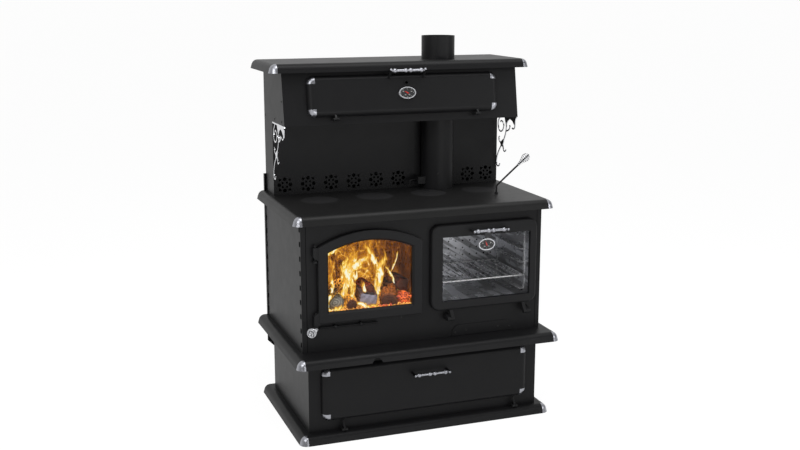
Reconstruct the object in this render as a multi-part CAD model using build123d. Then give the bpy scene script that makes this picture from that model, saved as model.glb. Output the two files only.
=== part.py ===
from build123d import *
import os
from math import acos, cos, pi, radians, sin, sqrt, tan

# A wood cookstove with a warming cabinet over its backsplash.  Millimetres, +X to the right, +Y to the
# back, +Z up.  The origin is on the floor, in the middle of the plinth's underside.

# ---------------------------------------------------------------- driving dimensions

# sheets, plates and fits
SHEET = 3.0                 # body sheets, shelf, plinth and lid
COOKTOP_PLATE = 5.0
DOOR_SHEET = 2.0
FIREBOX_PLATE = 5.0
LINER_SHEET = 2.5
SEAT = 0.3                  # gap where loose or curved pieces sit together
RUNNING = 0.25              # radial clearance round a turning pin
THROUGH = 1.0               # how far a cut runs past the face it goes through

# storey heights, floor upwards
SLAB_DROP = 38.1
PEDESTAL_HEIGHT = 353.0
CABINET_HEIGHT = 592.6
SPLASH_HEIGHT = 336.2
HOOD_HEIGHT = 262.3
FLUE_STUB = 103.0

# the cabinet, and how the boxes over and under it differ from it
CABINET_HALF, CABINET_FRONT, CABINET_BACK = 557.1, -280.1, 341.0
PEDESTAL_INSET, PEDESTAL_LEAD, PEDESTAL_SETBACK = 19.5, 13.6, 18.8
HOOD_INSET, HOOD_TAIL, HOOD_DEPTH = 5.8, 1.2, 370.5
HOOD_LEAN = 9.9             # degrees the hood front leans back
SPLASH_DEPTH = 150.1        # from the backsplash to the back of the hood
SIDE_RETURN = 22.0          # front flange of each cabinet side
PAN_INSET = 40.0

# how far each slab stands out beyond its box: at the sides, in front and behind
PLINTH_SIDE, PLINTH_LEAD, PLINTH_TAIL = 50.9, 58.0, 29.5
SHELF_SIDE, SHELF_LEAD, SHELF_TAIL = 51.3, 119.8, 0.2
COOKTOP_SIDE, COOKTOP_LEAD, COOKTOP_TAIL = 39.3, 57.6, 1.2
LID_SIDE, LID_LEAD, LID_TAIL = 57.7, 1.6, 3.2
NOTCH_X, NOTCH_WIDTH, NOTCH_TOP_WIDTH, NOTCH_HEIGHT = -260.0, 51.0, 18.0, 20.0

# rolled edges: radius, turn in degrees, flat kept in a corner
SLAB_ROLL_RADIUS, SLAB_ROLL_TURN, SLAB_CORNER_FLAT = 28.0, 74.0, 2.0
DOOR_ROLL_RADIUS, DOOR_ROLL_TURN, DOOR_CORNER_FLAT = 24.0, 90.0, 10.0
DOOR_DROP = 26.0

# flue, and the gap in the backsplash for it
FLUE_X, FLUE_SETBACK, FLUE_RADIUS, FLUE_WALL = 225.0, 192.2, 76.2, 1.5
FLUE_HOLE_GAP = 0.8
FLUE_JOINT_DROP, FLUE_SPIGOT = 60.0, 40.0    # where the two lengths of pipe meet below the lid's face
NICHE_MARGIN = 5.0                           # clear of the pipe, at each side

# slots along both edges of each cabinet side
SLOT_COUNT, SLOT_LENGTH, SLOT_WIDTH = 9, 16.0, 3.0
SLOT_FOOT, SLOT_HEAD, SLOT_INSET = 25.0, 50.8, 15.0

# the two doors side by side: inset from the cabinet's sides, and the space between them
FIRE_INSET, OVEN_INSET, DOOR_PARTING, DOOR_SPACE = 68.0, 31.0, -1.5, 43.0

# fire door: arched cast frame
FIRE_RISE, FIRE_HEADROOM, FIRE_ARCH = 129.9, 73.2, 60.5
FIRE_FRAME, FIRE_GAP, FIRE_DEPTH, FIRE_BEVEL, FIRE_ROUND = 45.0, 4.0, 22.0, 8.0, 3.0
GLASS_REBATE, GLASS_THICK, GLASS_SEAT = 10.0, 5.0, 1.0
SEAL_INSET, SEAL_WIDTH = 12.0, 9.0
FIRE_PIVOT_OUT, FIRE_PIVOT_Z = 10.0, 16.0   # outside the door's left edge, in front of the face
HINGE_LUG, HINGE_LUG_TALL, HINGE_LUG_DROP, HINGE_PIN = 20.0, 56.0, 7.0, 4.0
FIXED_LUG_TALL = 10.0
FINIAL_RADIUS = 6.5

# oven door: pillowed frame round a window
OVEN_RISE, OVEN_HEADROOM = 130.9, 76.7
OVEN_CORNER, OVEN_GAP, OVEN_DEPTH, OVEN_PILLOW = 40.0, 2.0, 24.0, 10.0
FRAME_LEFT, FRAME_RIGHT, FRAME_FOOT, FRAME_HEAD = 51.5, 34.0, 40.0, 57.0
OVEN_PIVOT_DROP, OVEN_PIVOT_OUT = 35.0, 41.0
OVEN_ARM_LEFT, OVEN_ARM_RIGHT, OVEN_ARM_WIDE, OVEN_LUG_WIDE, KNUCKLE_RADIUS = 86.0, 54.0, 16.0, 18.0, 9.0

# oven: how far its cavity reaches beyond the window, and its rack
CAVITY_LEFT, CAVITY_RIGHT, CAVITY_FOOT, CAVITY_HEAD, CAVITY_SETBACK = 9.5, 13.0, 13.0, 5.0, 128.1
GUIDE_SETBACK, GUIDE_BACK_SPACE, GUIDE_RAIL, GUIDE_PITCH, GUIDE_COUNT = 72.0, 31.0, 24.0, 62.0, 4
GUIDE_FIRST, GUIDE_STILE = 14.0, 12.0
RACK_FRAME, RACK_ROD, RACK_BARS, RACK_LEVEL = 4.0, 2.5, 11, 1
RACK_OVERHANG = 18.0

# firebox: how far it reaches beyond the fire door, and its lining
BOX_LEFT, BOX_RIGHT, BOX_FOOT, BOX_HEADROOM, BOX_SETBACK = 16.0, 11.0, 2.0, 56.7, 118.1
BRICK, BRICK_DROP, BRICK_JOINT, BRICK_ROWS = 30.0, 50.0, 1.0, 4
BAFFLE, BAFFLE_FRONT_GAP, BAFFLE_BACK_GAP, BAFFLE_SIDE_GAP = 8.0, 30.0, 70.0, 2.0
AIR_TUBE_RADIUS, AIR_TUBE_WALL, AIR_TUBE_COUNT, AIR_TUBE_PITCH = 12.0, 2.0, 3, 110.0

# clean-out cover under the oven
COVER_INSET, COVER_WIDTH, COVER_TALL, COVER_RISE, COVER_CORNER = 108.0, 292.0, 48.0, 4.0, 34.0
COVER_MARGIN = 22.0

# warming door, up the hood front's slope
WARM_INSET, WARM_FOOT, WARM_HEADROOM = 105.3, 34.0, 54.3
WARM_OPENING_MARGIN = 24.0
WARM_PIVOT_UP, WARM_PIVOT_OUT, WARM_STRAP_RISE = 23.0, 30.0, 9.0
WARM_HINGE_INSET, WARM_HINGE_SHIFT = 112.0, 7.0
WARM_CENTRE, WARM_DIAL_DROP = 5.0, 86.0
WARM_BOSS_DROP, WARM_BOSS_RADIUS, WARM_BOSS_BORE, WARM_BOSS_TALL = 41.0, 11.0, 6.6, 3.0

# storage door
STORE_INSET, STORE_RISE, STORE_HEADROOM = 54.6, 47.9, 64.1
STORE_OPENING_MARGIN = 26.0
STORE_PIVOT_RISE, STORE_PIVOT_OUT = 7.9, 34.0
STORE_HINGE_INSET, STORE_HINGE_SHIFT = 78.0, 17.0
STORE_HANDLE_X, STORE_HANDLE_DROP = 5.0, 65.0
DOOR_GAP = 2.0
STRAP_WIDE, STRAP_THICK, STRAP_PIN, STRAP_EAR, STRAP_WALL = 9.0, 4.0, 3.0, 8.0, 2.5

# bar handles
BAR_RADIUS, BAR_SWELL, BEAD_RADIUS, BEAD_HALF = 4.5, 1.5, 10.0, 9.0
BEAD_OUTER, BEAD_INNER, POST_RADIUS, POST_SPREAD = 62.0, 11.0, 6.0, 80.0
HANDLE_STANDOFF, OVEN_HANDLE_DROP = 36.0, 32.0
WARM_HANDLE_RISE, WARM_HANDLE_OUT, WARM_POST_DROP = 9.0, 58.0, 19.0

# oval thermometers
DIAL_HALF_WIDE, DIAL_HALF_TALL, DIAL_BEZEL, DIAL_DEEP, DIAL_WELL, DIAL_PLATE = 39.0, 26.0, 4.0, 9.0, 4.0, 2.0
NEEDLE_BORE, NEEDLE_SHAFT, NEEDLE_WIDE, NEEDLE_TAIL, NEEDLE_THICK, NEEDLE_HUB = 1.6, 1.2, 5.2, 7.0, 1.0, 1.6
NEEDLE_TIP_GAP = 4.0
OVEN_DIAL_SHIFT, OVEN_DIAL_DROP, OVEN_DIAL_TAB = -6.25, 43.0, 32.0
OVEN_NEEDLE_ANGLE, WARM_NEEDLE_ANGLE = 20.0, 60.0

# coil handles
COIL_WIRE, COIL_LENGTH, COIL_BULB, COIL_TURNS = 1.4, 70.0, 18.5, 8
COIL_SWELL = 2.2            # how late along its length the coil is widest
ROD_RADIUS, ROD_BEND = 4.0, 12.0
AIR_ROD_DROP, AIR_ROD_OUT, AIR_ROD_INSET, AIR_ROD_LENGTH = 22.0, 12.0, 3.0, 257.0
AIR_ROD_TURN, AIR_ARM, AIR_KNOB = 40.0, 24.0, 5.5
AIR_GUIDE_FIRST, AIR_GUIDE_SPACE, AIR_GUIDE_WIDE, AIR_GUIDE_RADIUS = 71.0, 115.0, 10.0, 8.0
OVEN_ROD_X, OVEN_ROD_Y, OVEN_ROD_RISE, OVEN_ROD_SLOPE, OVEN_ROD_ARM = 415.0, -104.0, 36.5, 40.0, 138.0
FLAP_HALF, FLAP_TALL, FLAP_CLEAR, ROD_COLLAR = 60.0, 70.0, 4.0, 6.0

# flue damper
FLUE_ROD_RISE, FLUE_LEG_OUT, FLUE_LEG, DISC_CLEAR, DISC_THICK = 41.0, 137.0, 30.0, 1.5, 3.0
INDEX_WIDE, INDEX_TALL, INDEX_THICK, INDEX_OUT, INDEX_WEB = 37.0, 34.0, 3.0, 32.0, 10.0

# backsplash rosettes: how far the first and last stand from the ends of their panel
ROSETTE_RISE, ROSETTE_LEFT_COUNT, ROSETTE_RIGHT_COUNT = 45.8, 6, 2
ROSETTE_LEFT_START, ROSETTE_LEFT_END, ROSETTE_RIGHT_START, ROSETTE_RIGHT_END = 48.3, 111.5, 105.0, 55.2
PETAL_RING, PETAL_RADIUS, POINT_RING, POINT_RADIUS, EYE_RING, EYE_RADIUS = 26.0, 9.5, 32.5, 9.5, 13.5, 6.2

# scroll brackets and rear shield
SCROLL_THICK, SCROLL_STROKE, SCROLL_DROP = 4.0, 6.5, 262.0
SHIELD_SIDE, SHIELD_DROP, SHIELD_RISE, SHIELD_CHAMFER = 3.9, 172.0, 77.3, 38.0
SHIELD_STANDOFF, STANDOFF_RADIUS, STANDOFF_INSET = 10.0, 10.0, 60.0
SHIELD_FLANGE = 18.0         # how deep the shield's edges fold forwards beside the cabinet

# ---------------------------------------------------------------- places worked out from these

plinth_top = SLAB_DROP
pedestal_head = plinth_top + PEDESTAL_HEIGHT
shelf_top = pedestal_head + SHEET
cabinet_foot = shelf_top
cabinet_head = cabinet_foot + CABINET_HEIGHT
cooktop_top = cabinet_head + COOKTOP_PLATE
hood_floor = cooktop_top + SPLASH_HEIGHT
hood_head = hood_floor + HOOD_HEIGHT
lid_top = hood_head + SHEET
flue_top = lid_top + FLUE_STUB

pedestal_half, pedestal_front = CABINET_HALF - PEDESTAL_INSET, CABINET_FRONT - PEDESTAL_LEAD
pedestal_back = CABINET_BACK - PEDESTAL_SETBACK
hood_half, hood_inside = CABINET_HALF - HOOD_INSET, CABINET_HALF - HOOD_INSET - SHEET
hood_back_y = CABINET_BACK + HOOD_TAIL
hood_front_foot = hood_back_y - HOOD_DEPTH          # the hood's lowest and foremost edge
splash_y, flue_y = hood_back_y - SPLASH_DEPTH, hood_back_y - FLUE_SETBACK

# each slab's half width, front, back and top
plinth_size = (
    pedestal_half + PLINTH_SIDE, pedestal_front - PLINTH_LEAD, pedestal_back + PLINTH_TAIL, plinth_top,
)
shelf_size = (CABINET_HALF + SHELF_SIDE, CABINET_FRONT - SHELF_LEAD, CABINET_BACK + SHELF_TAIL, shelf_top)
cooktop_size = (
    CABINET_HALF + COOKTOP_SIDE, CABINET_FRONT - COOKTOP_LEAD, CABINET_BACK + COOKTOP_TAIL, cooktop_top,
)
lid_size = (hood_half + LID_SIDE, hood_front_foot - LID_LEAD, hood_back_y + LID_TAIL, lid_top)

# faces that doors are drawn on: x to the right, y up the face, z out of it
pedestal_face = Plane(origin=(0, pedestal_front, 0), x_dir=(1, 0, 0), z_dir=(0, -1, 0))
cabinet_face = Plane(origin=(0, CABINET_FRONT, 0), x_dir=(1, 0, 0), z_dir=(0, -1, 0))
lean = radians(HOOD_LEAN)
hood_face = Plane(origin=(0, hood_front_foot, hood_floor), x_dir=(1, 0, 0), z_dir=(0, -cos(lean), sin(lean)))
hood_slope = HOOD_HEIGHT / cos(lean)

fire_left, fire_right = FIRE_INSET - CABINET_HALF, DOOR_PARTING - DOOR_SPACE / 2
fire_x = (fire_left + fire_right) / 2
fire_sill, fire_apex = cabinet_foot + FIRE_RISE, cabinet_head - FIRE_HEADROOM
oven_left, oven_right = DOOR_PARTING + DOOR_SPACE / 2, CABINET_HALF - OVEN_INSET
oven_sill, oven_top = cabinet_foot + OVEN_RISE, cabinet_head - OVEN_HEADROOM
window = (oven_left + FRAME_LEFT, oven_right - FRAME_RIGHT, oven_sill + FRAME_FOOT, oven_top - FRAME_HEAD)
cavity = (window[0] - CAVITY_LEFT, window[1] + CAVITY_RIGHT, window[2] - CAVITY_FOOT, window[3] + CAVITY_HEAD)
cavity_back = CABINET_BACK - CAVITY_SETBACK

warm_half, warm_head = hood_half - WARM_INSET, hood_slope - WARM_HEADROOM
warm_hinges = [side * (warm_half - WARM_HINGE_INSET) + WARM_HINGE_SHIFT for side in (-1, 1)]
store_half = pedestal_half - STORE_INSET
store_foot, store_head = plinth_top + STORE_RISE, pedestal_head - STORE_HEADROOM
store_hinges = [side * (store_half - STORE_HINGE_INSET) + STORE_HINGE_SHIFT for side in (-1, 1)]

SIDES = {"left": (-1, 0, 0), "front": (0, -1, 0), "right": (1, 0, 0), "back": (0, 1, 0)}


# ---------------------------------------------------------------- shared shapes

def block(x0, x1, y0, y1, z0, z1):
    """A box between two corners."""
    return Pos((x0 + x1) / 2, (y0 + y1) / 2, (z0 + z1) / 2) * Box(x1 - x0, y1 - y0, z1 - z0)


def rod(start, end, radius):
    """A round bar from one point to another."""
    start, end = Vector(start), Vector(end)
    return extrude(Plane(origin=start, z_dir=end - start) * Circle(radius), (end - start).length)


def hull_plate(points, thick, plane=Plane.XY):
    """A flat plate with a straight-sided outline, raised along the plane's normal."""
    return extrude(plane * make_face(Polyline(*points, close=True)), thick, dir=plane.z_dir)


class Roll:
    """A sheet edge rolled over through a turn, then run straight and cut level at `drop` below the face."""

    def __init__(self, radius, turn, drop, corner_flat):
        self.radius, self.turn, self.drop, self.corner_flat = radius, radians(turn), drop, corner_flat
        self.straight = (drop - radius * (1 - cos(self.turn))) / sin(self.turn)
        self.reach = radius * sin(self.turn) + self.straight * cos(self.turn)
        self.corner = self.reach + corner_flat

    def section(self, thick, flat=0.0):
        """The edge cut across: x outwards from the start of the roll, or of a flat before it, y upwards."""
        def on_arc(radius, angle):
            return Vector(flat + radius * sin(angle), radius * cos(angle) - self.radius)
        inner = self.radius - thick
        along = Vector(cos(self.turn), -sin(self.turn))
        outer_end, inner_end = on_arc(self.radius, self.turn), on_arc(inner, self.turn)
        outer_foot = outer_end + along * self.straight
        inner_foot = inner_end + along * ((self.drop + inner_end.Y) / sin(self.turn))
        start = [on_arc(inner, 0), Vector(0, -thick), Vector(0, 0), on_arc(self.radius, 0)]
        return make_face([
            ThreePointArc(on_arc(self.radius, 0), on_arc(self.radius, self.turn / 2), outer_end),
            Polyline(outer_end, outer_foot, inner_foot, inner_end),
            ThreePointArc(inner_end, on_arc(inner, self.turn / 2), on_arc(inner, 0)),
            Polyline(*(start if flat else (start[0], start[3]))),
        ])


slab_roll = Roll(SLAB_ROLL_RADIUS, SLAB_ROLL_TURN, SLAB_DROP, SLAB_CORNER_FLAT)
door_roll = Roll(DOOR_ROLL_RADIUS, DOOR_ROLL_TURN, DOOR_DROP, DOOR_CORNER_FLAT)


def edge_plane(start, outward):
    """The plane across a rolled edge that faces outward from a start point."""
    outward = Vector(outward)
    return Plane(origin=start, x_dir=outward, z_dir=outward.cross(Vector(0, 0, 1)))


def rolled_sheet(x0, x1, y0, y1, roll, thick, back_rolled=False):
    """A sheet with its face at z = 0 and its left, front, right and maybe back edges rolled down.

    Each corner between two rolled edges is left open for its cap."""
    flat = roll.corner_flat
    back = y1 - roll.reach if back_rolled else y1
    sheet = block(x0 + roll.reach, x1 - roll.reach, y0 + roll.reach, back, -thick, 0)
    across, along = x1 - x0 - 2 * roll.corner, (back - flat if back_rolled else back) - y0 - roll.corner
    runs = {"left": ((x0 + roll.reach, y0 + roll.corner, 0), along),
            "front": ((x1 - roll.corner, y0 + roll.reach, 0), across),
            "right": ((x1 - roll.reach, y0 + roll.corner + along, 0), along)}
    if back_rolled:
        runs["back"] = ((x0 + roll.corner, back, 0), across)
    for side, (start, run) in runs.items():
        plane = edge_plane(start, SIDES[side])
        sheet += extrude(plane * roll.section(thick), run, dir=plane.z_dir)
    for x in (x0 + roll.reach, x1 - roll.corner):
        sheet -= block(x, x + flat, y0 + roll.reach, y0 + roll.corner, -thick, 0)
        if back_rolled:
            sheet -= block(x, x + flat, back - flat, back, -thick, 0)
    return sheet


def corner_caps(x0, x1, y0, y1, roll, thick, back_rolled=False):
    """The pressed caps that close the corners of a rolled sheet, each a quarter turn of its edge."""
    corners = [("left", x0 + roll.corner, y0 + roll.corner), ("front", x1 - roll.corner, y0 + roll.corner)]
    if back_rolled:
        corners += [("right", x1 - roll.corner, y1 - roll.corner), ("back", x0 + roll.corner, y1 - roll.corner)]
    caps = []
    for side, x, y in corners:
        section = edge_plane((x, y, 0), SIDES[side]) * roll.section(thick, flat=roll.corner_flat)
        caps.append(revolve(section, Axis((x, y, 0), (0, 0, 1)), 90))
    return caps


def bar_handle(x, y, z):
    """A turned bar with two grips, each swelling at both ends, its ends let into two posts."""
    waist = (BEAD_OUTER - BEAD_HALF, BAR_RADIUS + BAR_SWELL)
    inner_waist = (BEAD_INNER + BEAD_HALF, BAR_RADIUS + BAR_SWELL)
    half = [
        Polyline((0, 0), (0, BAR_RADIUS), (BEAD_INNER - BEAD_HALF, BAR_RADIUS)),
        ThreePointArc((BEAD_INNER - BEAD_HALF, BAR_RADIUS), (BEAD_INNER, BEAD_RADIUS), inner_waist),
        Line(inner_waist, waist),
        ThreePointArc(waist, (BEAD_OUTER, BEAD_RADIUS), (BEAD_OUTER + BEAD_HALF, BAR_RADIUS)),
        Polyline((BEAD_OUTER + BEAD_HALF, BAR_RADIUS), (POST_SPREAD, BAR_RADIUS), (POST_SPREAD, 0), (0, 0)),
    ]
    side = revolve(make_face(half), Axis.X, 360)
    return Pos(x, y, z) * (side + mirror(side, about=Plane.YZ))


def post_nuts(x, y, z, outward):
    """A domed nut on the outer end of each handle post."""
    r = 2 * POST_RADIUS
    dome = Sphere(POST_RADIUS) - block(-r, r, -r, r, -r, 0)
    spot = Plane(origin=(0, 0, 0), z_dir=outward)
    return [Pos(x + side * POST_SPREAD, y, z) * (spot.location * dome) for side in (-1, 1)]


def handle_posts(x, foot, tip):
    """Two posts from the door's face to the ends of its handle bar; foot and tip are (up, out)."""
    reach = Vector(0, tip[0] - foot[0], tip[1] - foot[1])
    beyond = reach.normalized() * POST_RADIUS
    posts = []
    for side in (-1, 1):
        start, end = (x + side * POST_SPREAD, *foot), (x + side * POST_SPREAD, *tip)
        post = rod(start, Vector(end) + beyond, POST_RADIUS)
        hole = rod(end, Vector(end) - Vector(side * 2 * POST_RADIUS, 0, 0), BAR_RADIUS + SEAT)
        posts.append(post - hole)
    return posts


def coil_radius(share):
    """How far the coil handle's wire stands from its axis, a share of the way from neck to tip."""
    neck = ROD_RADIUS + COIL_WIRE + SEAT
    return neck + (COIL_BULB - neck) * sin(pi * share ** COIL_SWELL)


def coil_point(turn):
    share = turn / COIL_TURNS
    radius = coil_radius(min(max(share, 0.0), 1.0))
    return Vector(radius * cos(2 * pi * turn), radius * sin(2 * pi * turn), COIL_LENGTH * share)


def arc_from(start, tangent, end):
    """The arc that leaves start along tangent and ends at end."""
    chord = end - start
    ahead = chord.normalized()
    aside = tangent - ahead * tangent.dot(ahead)
    angle = acos(max(-1.0, min(1.0, tangent.normalized().dot(ahead))))
    middle = start + chord * 0.5 + aside.normalized() * (chord.length / 2 * sin(angle) / (1 + cos(angle)))
    return ThreePointArc(start, middle, end)


def biarc(start, t0, end, t1):
    """Two arcs, tangent to each other, from start along t0 to end along t1."""
    chord, both, turn = end - start, t0 + t1, 1 - t0.dot(t1)
    along = chord.dot(both)
    reach = (sqrt(along ** 2 + 2 * turn * chord.dot(chord)) - along) / (2 * turn)
    joint = (start + t0 * reach + end - t1 * reach) * 0.5
    middle = (end - t1 * reach - start - t0 * reach).normalized()
    return [arc_from(start, t0, joint), arc_from(joint, middle, end)]


def coil_handle():
    """A wire wound round the end of a rod into a long bulb: one tube, along +Z from its neck."""
    step, small = 0.5, 1e-4
    stops = [i * step for i in range(int(COIL_TURNS / step) + 1)]
    points = [coil_point(turn) for turn in stops]
    tangents = [(coil_point(turn + small) - coil_point(turn - small)).normalized() for turn in stops]
    arcs = []
    for i in range(len(points) - 1):
        arcs += biarc(points[i], tangents[i], points[i + 1], tangents[i + 1])
    start = Plane(origin=points[0], z_dir=tangents[0])
    return sweep(start * Circle(COIL_WIRE), path=Wire(arcs))


def coil_gap():
    """The least gap between the coil's neighbouring turns, measured on points along it."""
    samples = [coil_point(i / 48) for i in range(COIL_TURNS * 48 + 1)]
    least = min((samples[i] - samples[j]).length
                for i in range(len(samples)) for j in range(i + 36, min(i + 60, len(samples))))
    return least - 2 * COIL_WIRE


# ---------------------------------------------------------------- slabs

def slab(size, thick):
    half, front, back, top = size
    return Pos(0, 0, top) * rolled_sheet(-half, half, front, back, slab_roll, thick)


def slab_caps(size):
    """The two bright caps on a slab's front corners."""
    half, front, back, top = size
    return [Pos(0, 0, top) * cap for cap in corner_caps(-half, half, front, back, slab_roll, SHEET)]


def base_pan():
    """The sheet tray that closes the plinth underneath and stands on the floor."""
    half, front, back, top = plinth_size
    x, y0, y1 = half - PAN_INSET, front + PAN_INSET, back - SHEET
    tray = block(-x, x, y0, y1, 0, top - SHEET)
    return tray - block(-x + SHEET, x - SHEET, y0 + SHEET, y1 - SHEET, SHEET, top)


def mid_shelf():
    """The shelf slab, its front lip notched under the fire door."""
    foot, wide, narrow = shelf_top - SLAB_DROP, NOTCH_WIDTH / 2, NOTCH_TOP_WIDTH / 2
    notch = [(NOTCH_X - wide, foot - THROUGH), (NOTCH_X - narrow, foot + NOTCH_HEIGHT),
             (NOTCH_X + narrow, foot + NOTCH_HEIGHT), (NOTCH_X + wide, foot - THROUGH)]
    lip = Plane(origin=(0, shelf_size[1] + slab_roll.reach / 2, 0), x_dir=(1, 0, 0), z_dir=(0, -1, 0))
    return slab(shelf_size, SHEET) - hull_plate(notch, slab_roll.reach, lip)


def flue_opening(z):
    return Pos(FLUE_X, flue_y, z) * Cylinder(FLUE_RADIUS + FLUE_HOLE_GAP, 4 * SLAB_DROP)


def cooktop():
    """The cast cooking plate, open under the flue and bored for the oven damper's rod."""
    smoke_way = Pos(FLUE_X, flue_y, cooktop_top) * Cylinder(FLUE_RADIUS - 2 * FLUE_WALL, 4 * COOKTOP_PLATE)
    rod_hole = Pos(OVEN_ROD_X, OVEN_ROD_Y, cooktop_top) * Cylinder(ROD_RADIUS + RUNNING, 4 * COOKTOP_PLATE)
    return slab(cooktop_size, COOKTOP_PLATE) - smoke_way - rod_hole


def lid():
    return slab(lid_size, SHEET) - flue_opening(lid_top)


# ---------------------------------------------------------------- pedestal

def pedestal_case():
    """Four walls under the shelf, open behind the storage door."""
    x, y0, y1, m = pedestal_half, pedestal_front, pedestal_back, STORE_OPENING_MARGIN
    outer = block(-x, x, y0, y1, plinth_top, pedestal_head)
    inner = block(-x + SHEET, x - SHEET, y0 + SHEET, y1 - SHEET, 0, shelf_top)
    mouth = block(-store_half + m, store_half - m, y0 - SHEET, y0 + 2 * SHEET, store_foot + m, store_head - m)
    return outer - inner - mouth


# ---------------------------------------------------------------- cabinet shell

def cabinet_side(side):
    """A side sheet folded round the front corner, slotted along both upright edges."""
    x0, x1 = CABINET_HALF - SHEET, CABINET_HALF
    sheet = block(x0, x1, CABINET_FRONT, CABINET_BACK - SHEET, cabinet_foot, cabinet_head)
    sheet += block(x1 - SIDE_RETURN, x1, CABINET_FRONT, CABINET_FRONT + SHEET, cabinet_foot, cabinet_head)
    fold = sheet.edges().filter_by(Axis.Z).group_by(Axis.Y)[0].sort_by(Axis.X)[-1]
    sheet = fillet(fold, 0.8 * SHEET)
    first, last = cabinet_foot + SLOT_FOOT, cabinet_head - SLOT_HEAD - SLOT_LENGTH
    pitch = (last - first) / (SLOT_COUNT - 1)
    slots = []
    for y in (CABINET_FRONT + SLOT_INSET, CABINET_BACK - SLOT_INSET):
        for i in range(SLOT_COUNT):
            z = first + i * pitch
            slots.append(block(x0 - THROUGH, x1 + THROUGH, y - SLOT_WIDTH / 2, y + SLOT_WIDTH / 2,
                               z, z + SLOT_LENGTH))
    sheet -= slots
    return sheet if side > 0 else mirror(sheet, about=Plane.YZ)


def fire_outline(inset=0.0):
    """The fire door's arched outline, drawn in by a margin all round."""
    full_half = (fire_right - fire_left) / 2
    arch = (full_half ** 2 + FIRE_ARCH ** 2) / (2 * FIRE_ARCH)
    half, radius, foot = full_half - inset, arch - inset, fire_sill + inset
    spring = fire_apex - arch + sqrt(radius ** 2 - half ** 2)
    left, right = fire_x - half, fire_x + half
    sides = Polyline((left, spring), (left, foot), (right, foot), (right, spring))
    return make_face([sides, ThreePointArc((right, spring), (fire_x, fire_apex - inset), (left, spring))])


def cover_outline(inset=0.0):
    """The clean-out cover's outline: square feet and large rounded shoulders."""
    x0, y0 = oven_left + COVER_INSET + inset, cabinet_foot + COVER_RISE + inset
    wide, tall = COVER_WIDTH - 2 * inset, COVER_TALL - 2 * inset
    plate = Pos(x0 + wide / 2, y0 + tall / 2) * Rectangle(wide, tall)
    return fillet(plate.vertices().group_by(Axis.Y)[-1], min(COVER_CORNER, 0.9 * tall))


def cabinet_front():
    """The front plate between the side returns, open behind both doors and the clean-out cover."""
    half = CABINET_HALF - SIDE_RETURN
    plate = block(-half, half, cabinet_foot, cabinet_head, -SHEET, 0)
    plate -= extrude(fire_outline(FIRE_FRAME - GLASS_REBATE), 2 * SHEET, both=True)
    plate -= block(*cavity, -2 * SHEET, SHEET)
    plate -= extrude(cover_outline(COVER_MARGIN), 2 * SHEET, both=True)
    return cabinet_face.location * plate


def cabinet_back():
    return block(-CABINET_HALF, CABINET_HALF, CABINET_BACK - SHEET, CABINET_BACK, cabinet_foot, cabinet_head)


def cleanout_cover():
    return cabinet_face.location * extrude(cover_outline(), SHEET)


# ---------------------------------------------------------------- firebox

box_left, box_right = fire_left - BOX_LEFT, fire_right + BOX_RIGHT
box_front, box_back = CABINET_FRONT + SHEET, CABINET_BACK - BOX_SETBACK
box_floor, box_top = fire_sill + BOX_FOOT, cabinet_head - BOX_HEADROOM
brick_left, brick_right = box_left + FIREBOX_PLATE + SEAT, box_right - FIREBOX_PLATE - SEAT
brick_top = box_top - BRICK_DROP


def firebox_shell():
    """The welded firebox, open at the front, with a smoke slot in its crown at the back."""
    t = FIREBOX_PLATE
    shell = block(box_left, box_right, box_front, box_back, box_floor - t, box_top)
    shell -= block(box_left + t, box_right - t, box_front - t, box_back - t, box_floor, box_top - t)
    slot = block(box_left + 2 * BRICK, box_right - 2 * BRICK, box_back - 3 * BRICK, box_back - 2 * BRICK,
                 box_top - 2 * t, box_top + t)
    return shell - slot


def firebricks():
    """Hearth, side and back bricks, each a separate brick standing on the firebox floor."""
    front, back = box_front + SEAT, box_back - FIREBOX_PLATE - SEAT
    wide, deep = (brick_right - brick_left - 2 * BRICK) / BRICK_ROWS, (back - BRICK - front) / BRICK_ROWS
    bricks = []
    for i in range(BRICK_ROWS):
        x0 = brick_left + BRICK + i * wide + BRICK_JOINT / 2
        x1, y = x0 + wide - BRICK_JOINT, front + i * deep
        bricks.append(block(x0, x1, back - BRICK, back, box_floor, brick_top))
        bricks.append(block(x0, x1, front, back - BRICK - BRICK_JOINT, box_floor, box_floor + BRICK))
        for x in (brick_left, brick_right - BRICK):
            bricks.append(block(x, x + BRICK, y, y + deep - BRICK_JOINT, box_floor, brick_top))
    return bricks


def baffle_plate():
    """The plate over the fire, resting on the side bricks."""
    return block(brick_left + BAFFLE_SIDE_GAP, brick_right - BAFFLE_SIDE_GAP, CABINET_FRONT + BAFFLE_FRONT_GAP,
                 box_back - BAFFLE_BACK_GAP, brick_top, brick_top + BAFFLE)


def air_tubes():
    """Tubes across the firebox under the baffle, which bring air to the flames."""
    x0, x1 = brick_left + BRICK + SEAT, brick_right - BRICK - SEAT
    z = brick_top - AIR_TUBE_RADIUS - SEAT
    tubes = []
    for i in range(AIR_TUBE_COUNT):
        y = CABINET_FRONT + 2 * BAFFLE_FRONT_GAP + i * AIR_TUBE_PITCH
        bore = rod((x0 - THROUGH, y, z), (x1 + THROUGH, y, z), AIR_TUBE_RADIUS - AIR_TUBE_WALL)
        tubes.append(rod((x0, y, z), (x1, y, z), AIR_TUBE_RADIUS) - bore)
    return tubes


# ---------------------------------------------------------------- oven

guide_front, guide_back = CABINET_FRONT + GUIDE_SETBACK, cavity_back - GUIDE_BACK_SPACE
rack_z = cavity[2] + GUIDE_FIRST + RACK_LEVEL * GUIDE_PITCH + SHEET + RACK_FRAME + SEAT


def oven_liner():
    left, right, sill, top = cavity
    t, front = LINER_SHEET, CABINET_FRONT + SHEET
    liner = block(left - t, right + t, front, cavity_back + t, sill - t, top + t)
    return liner - block(left, right, front - t, cavity_back, sill, top)


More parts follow.
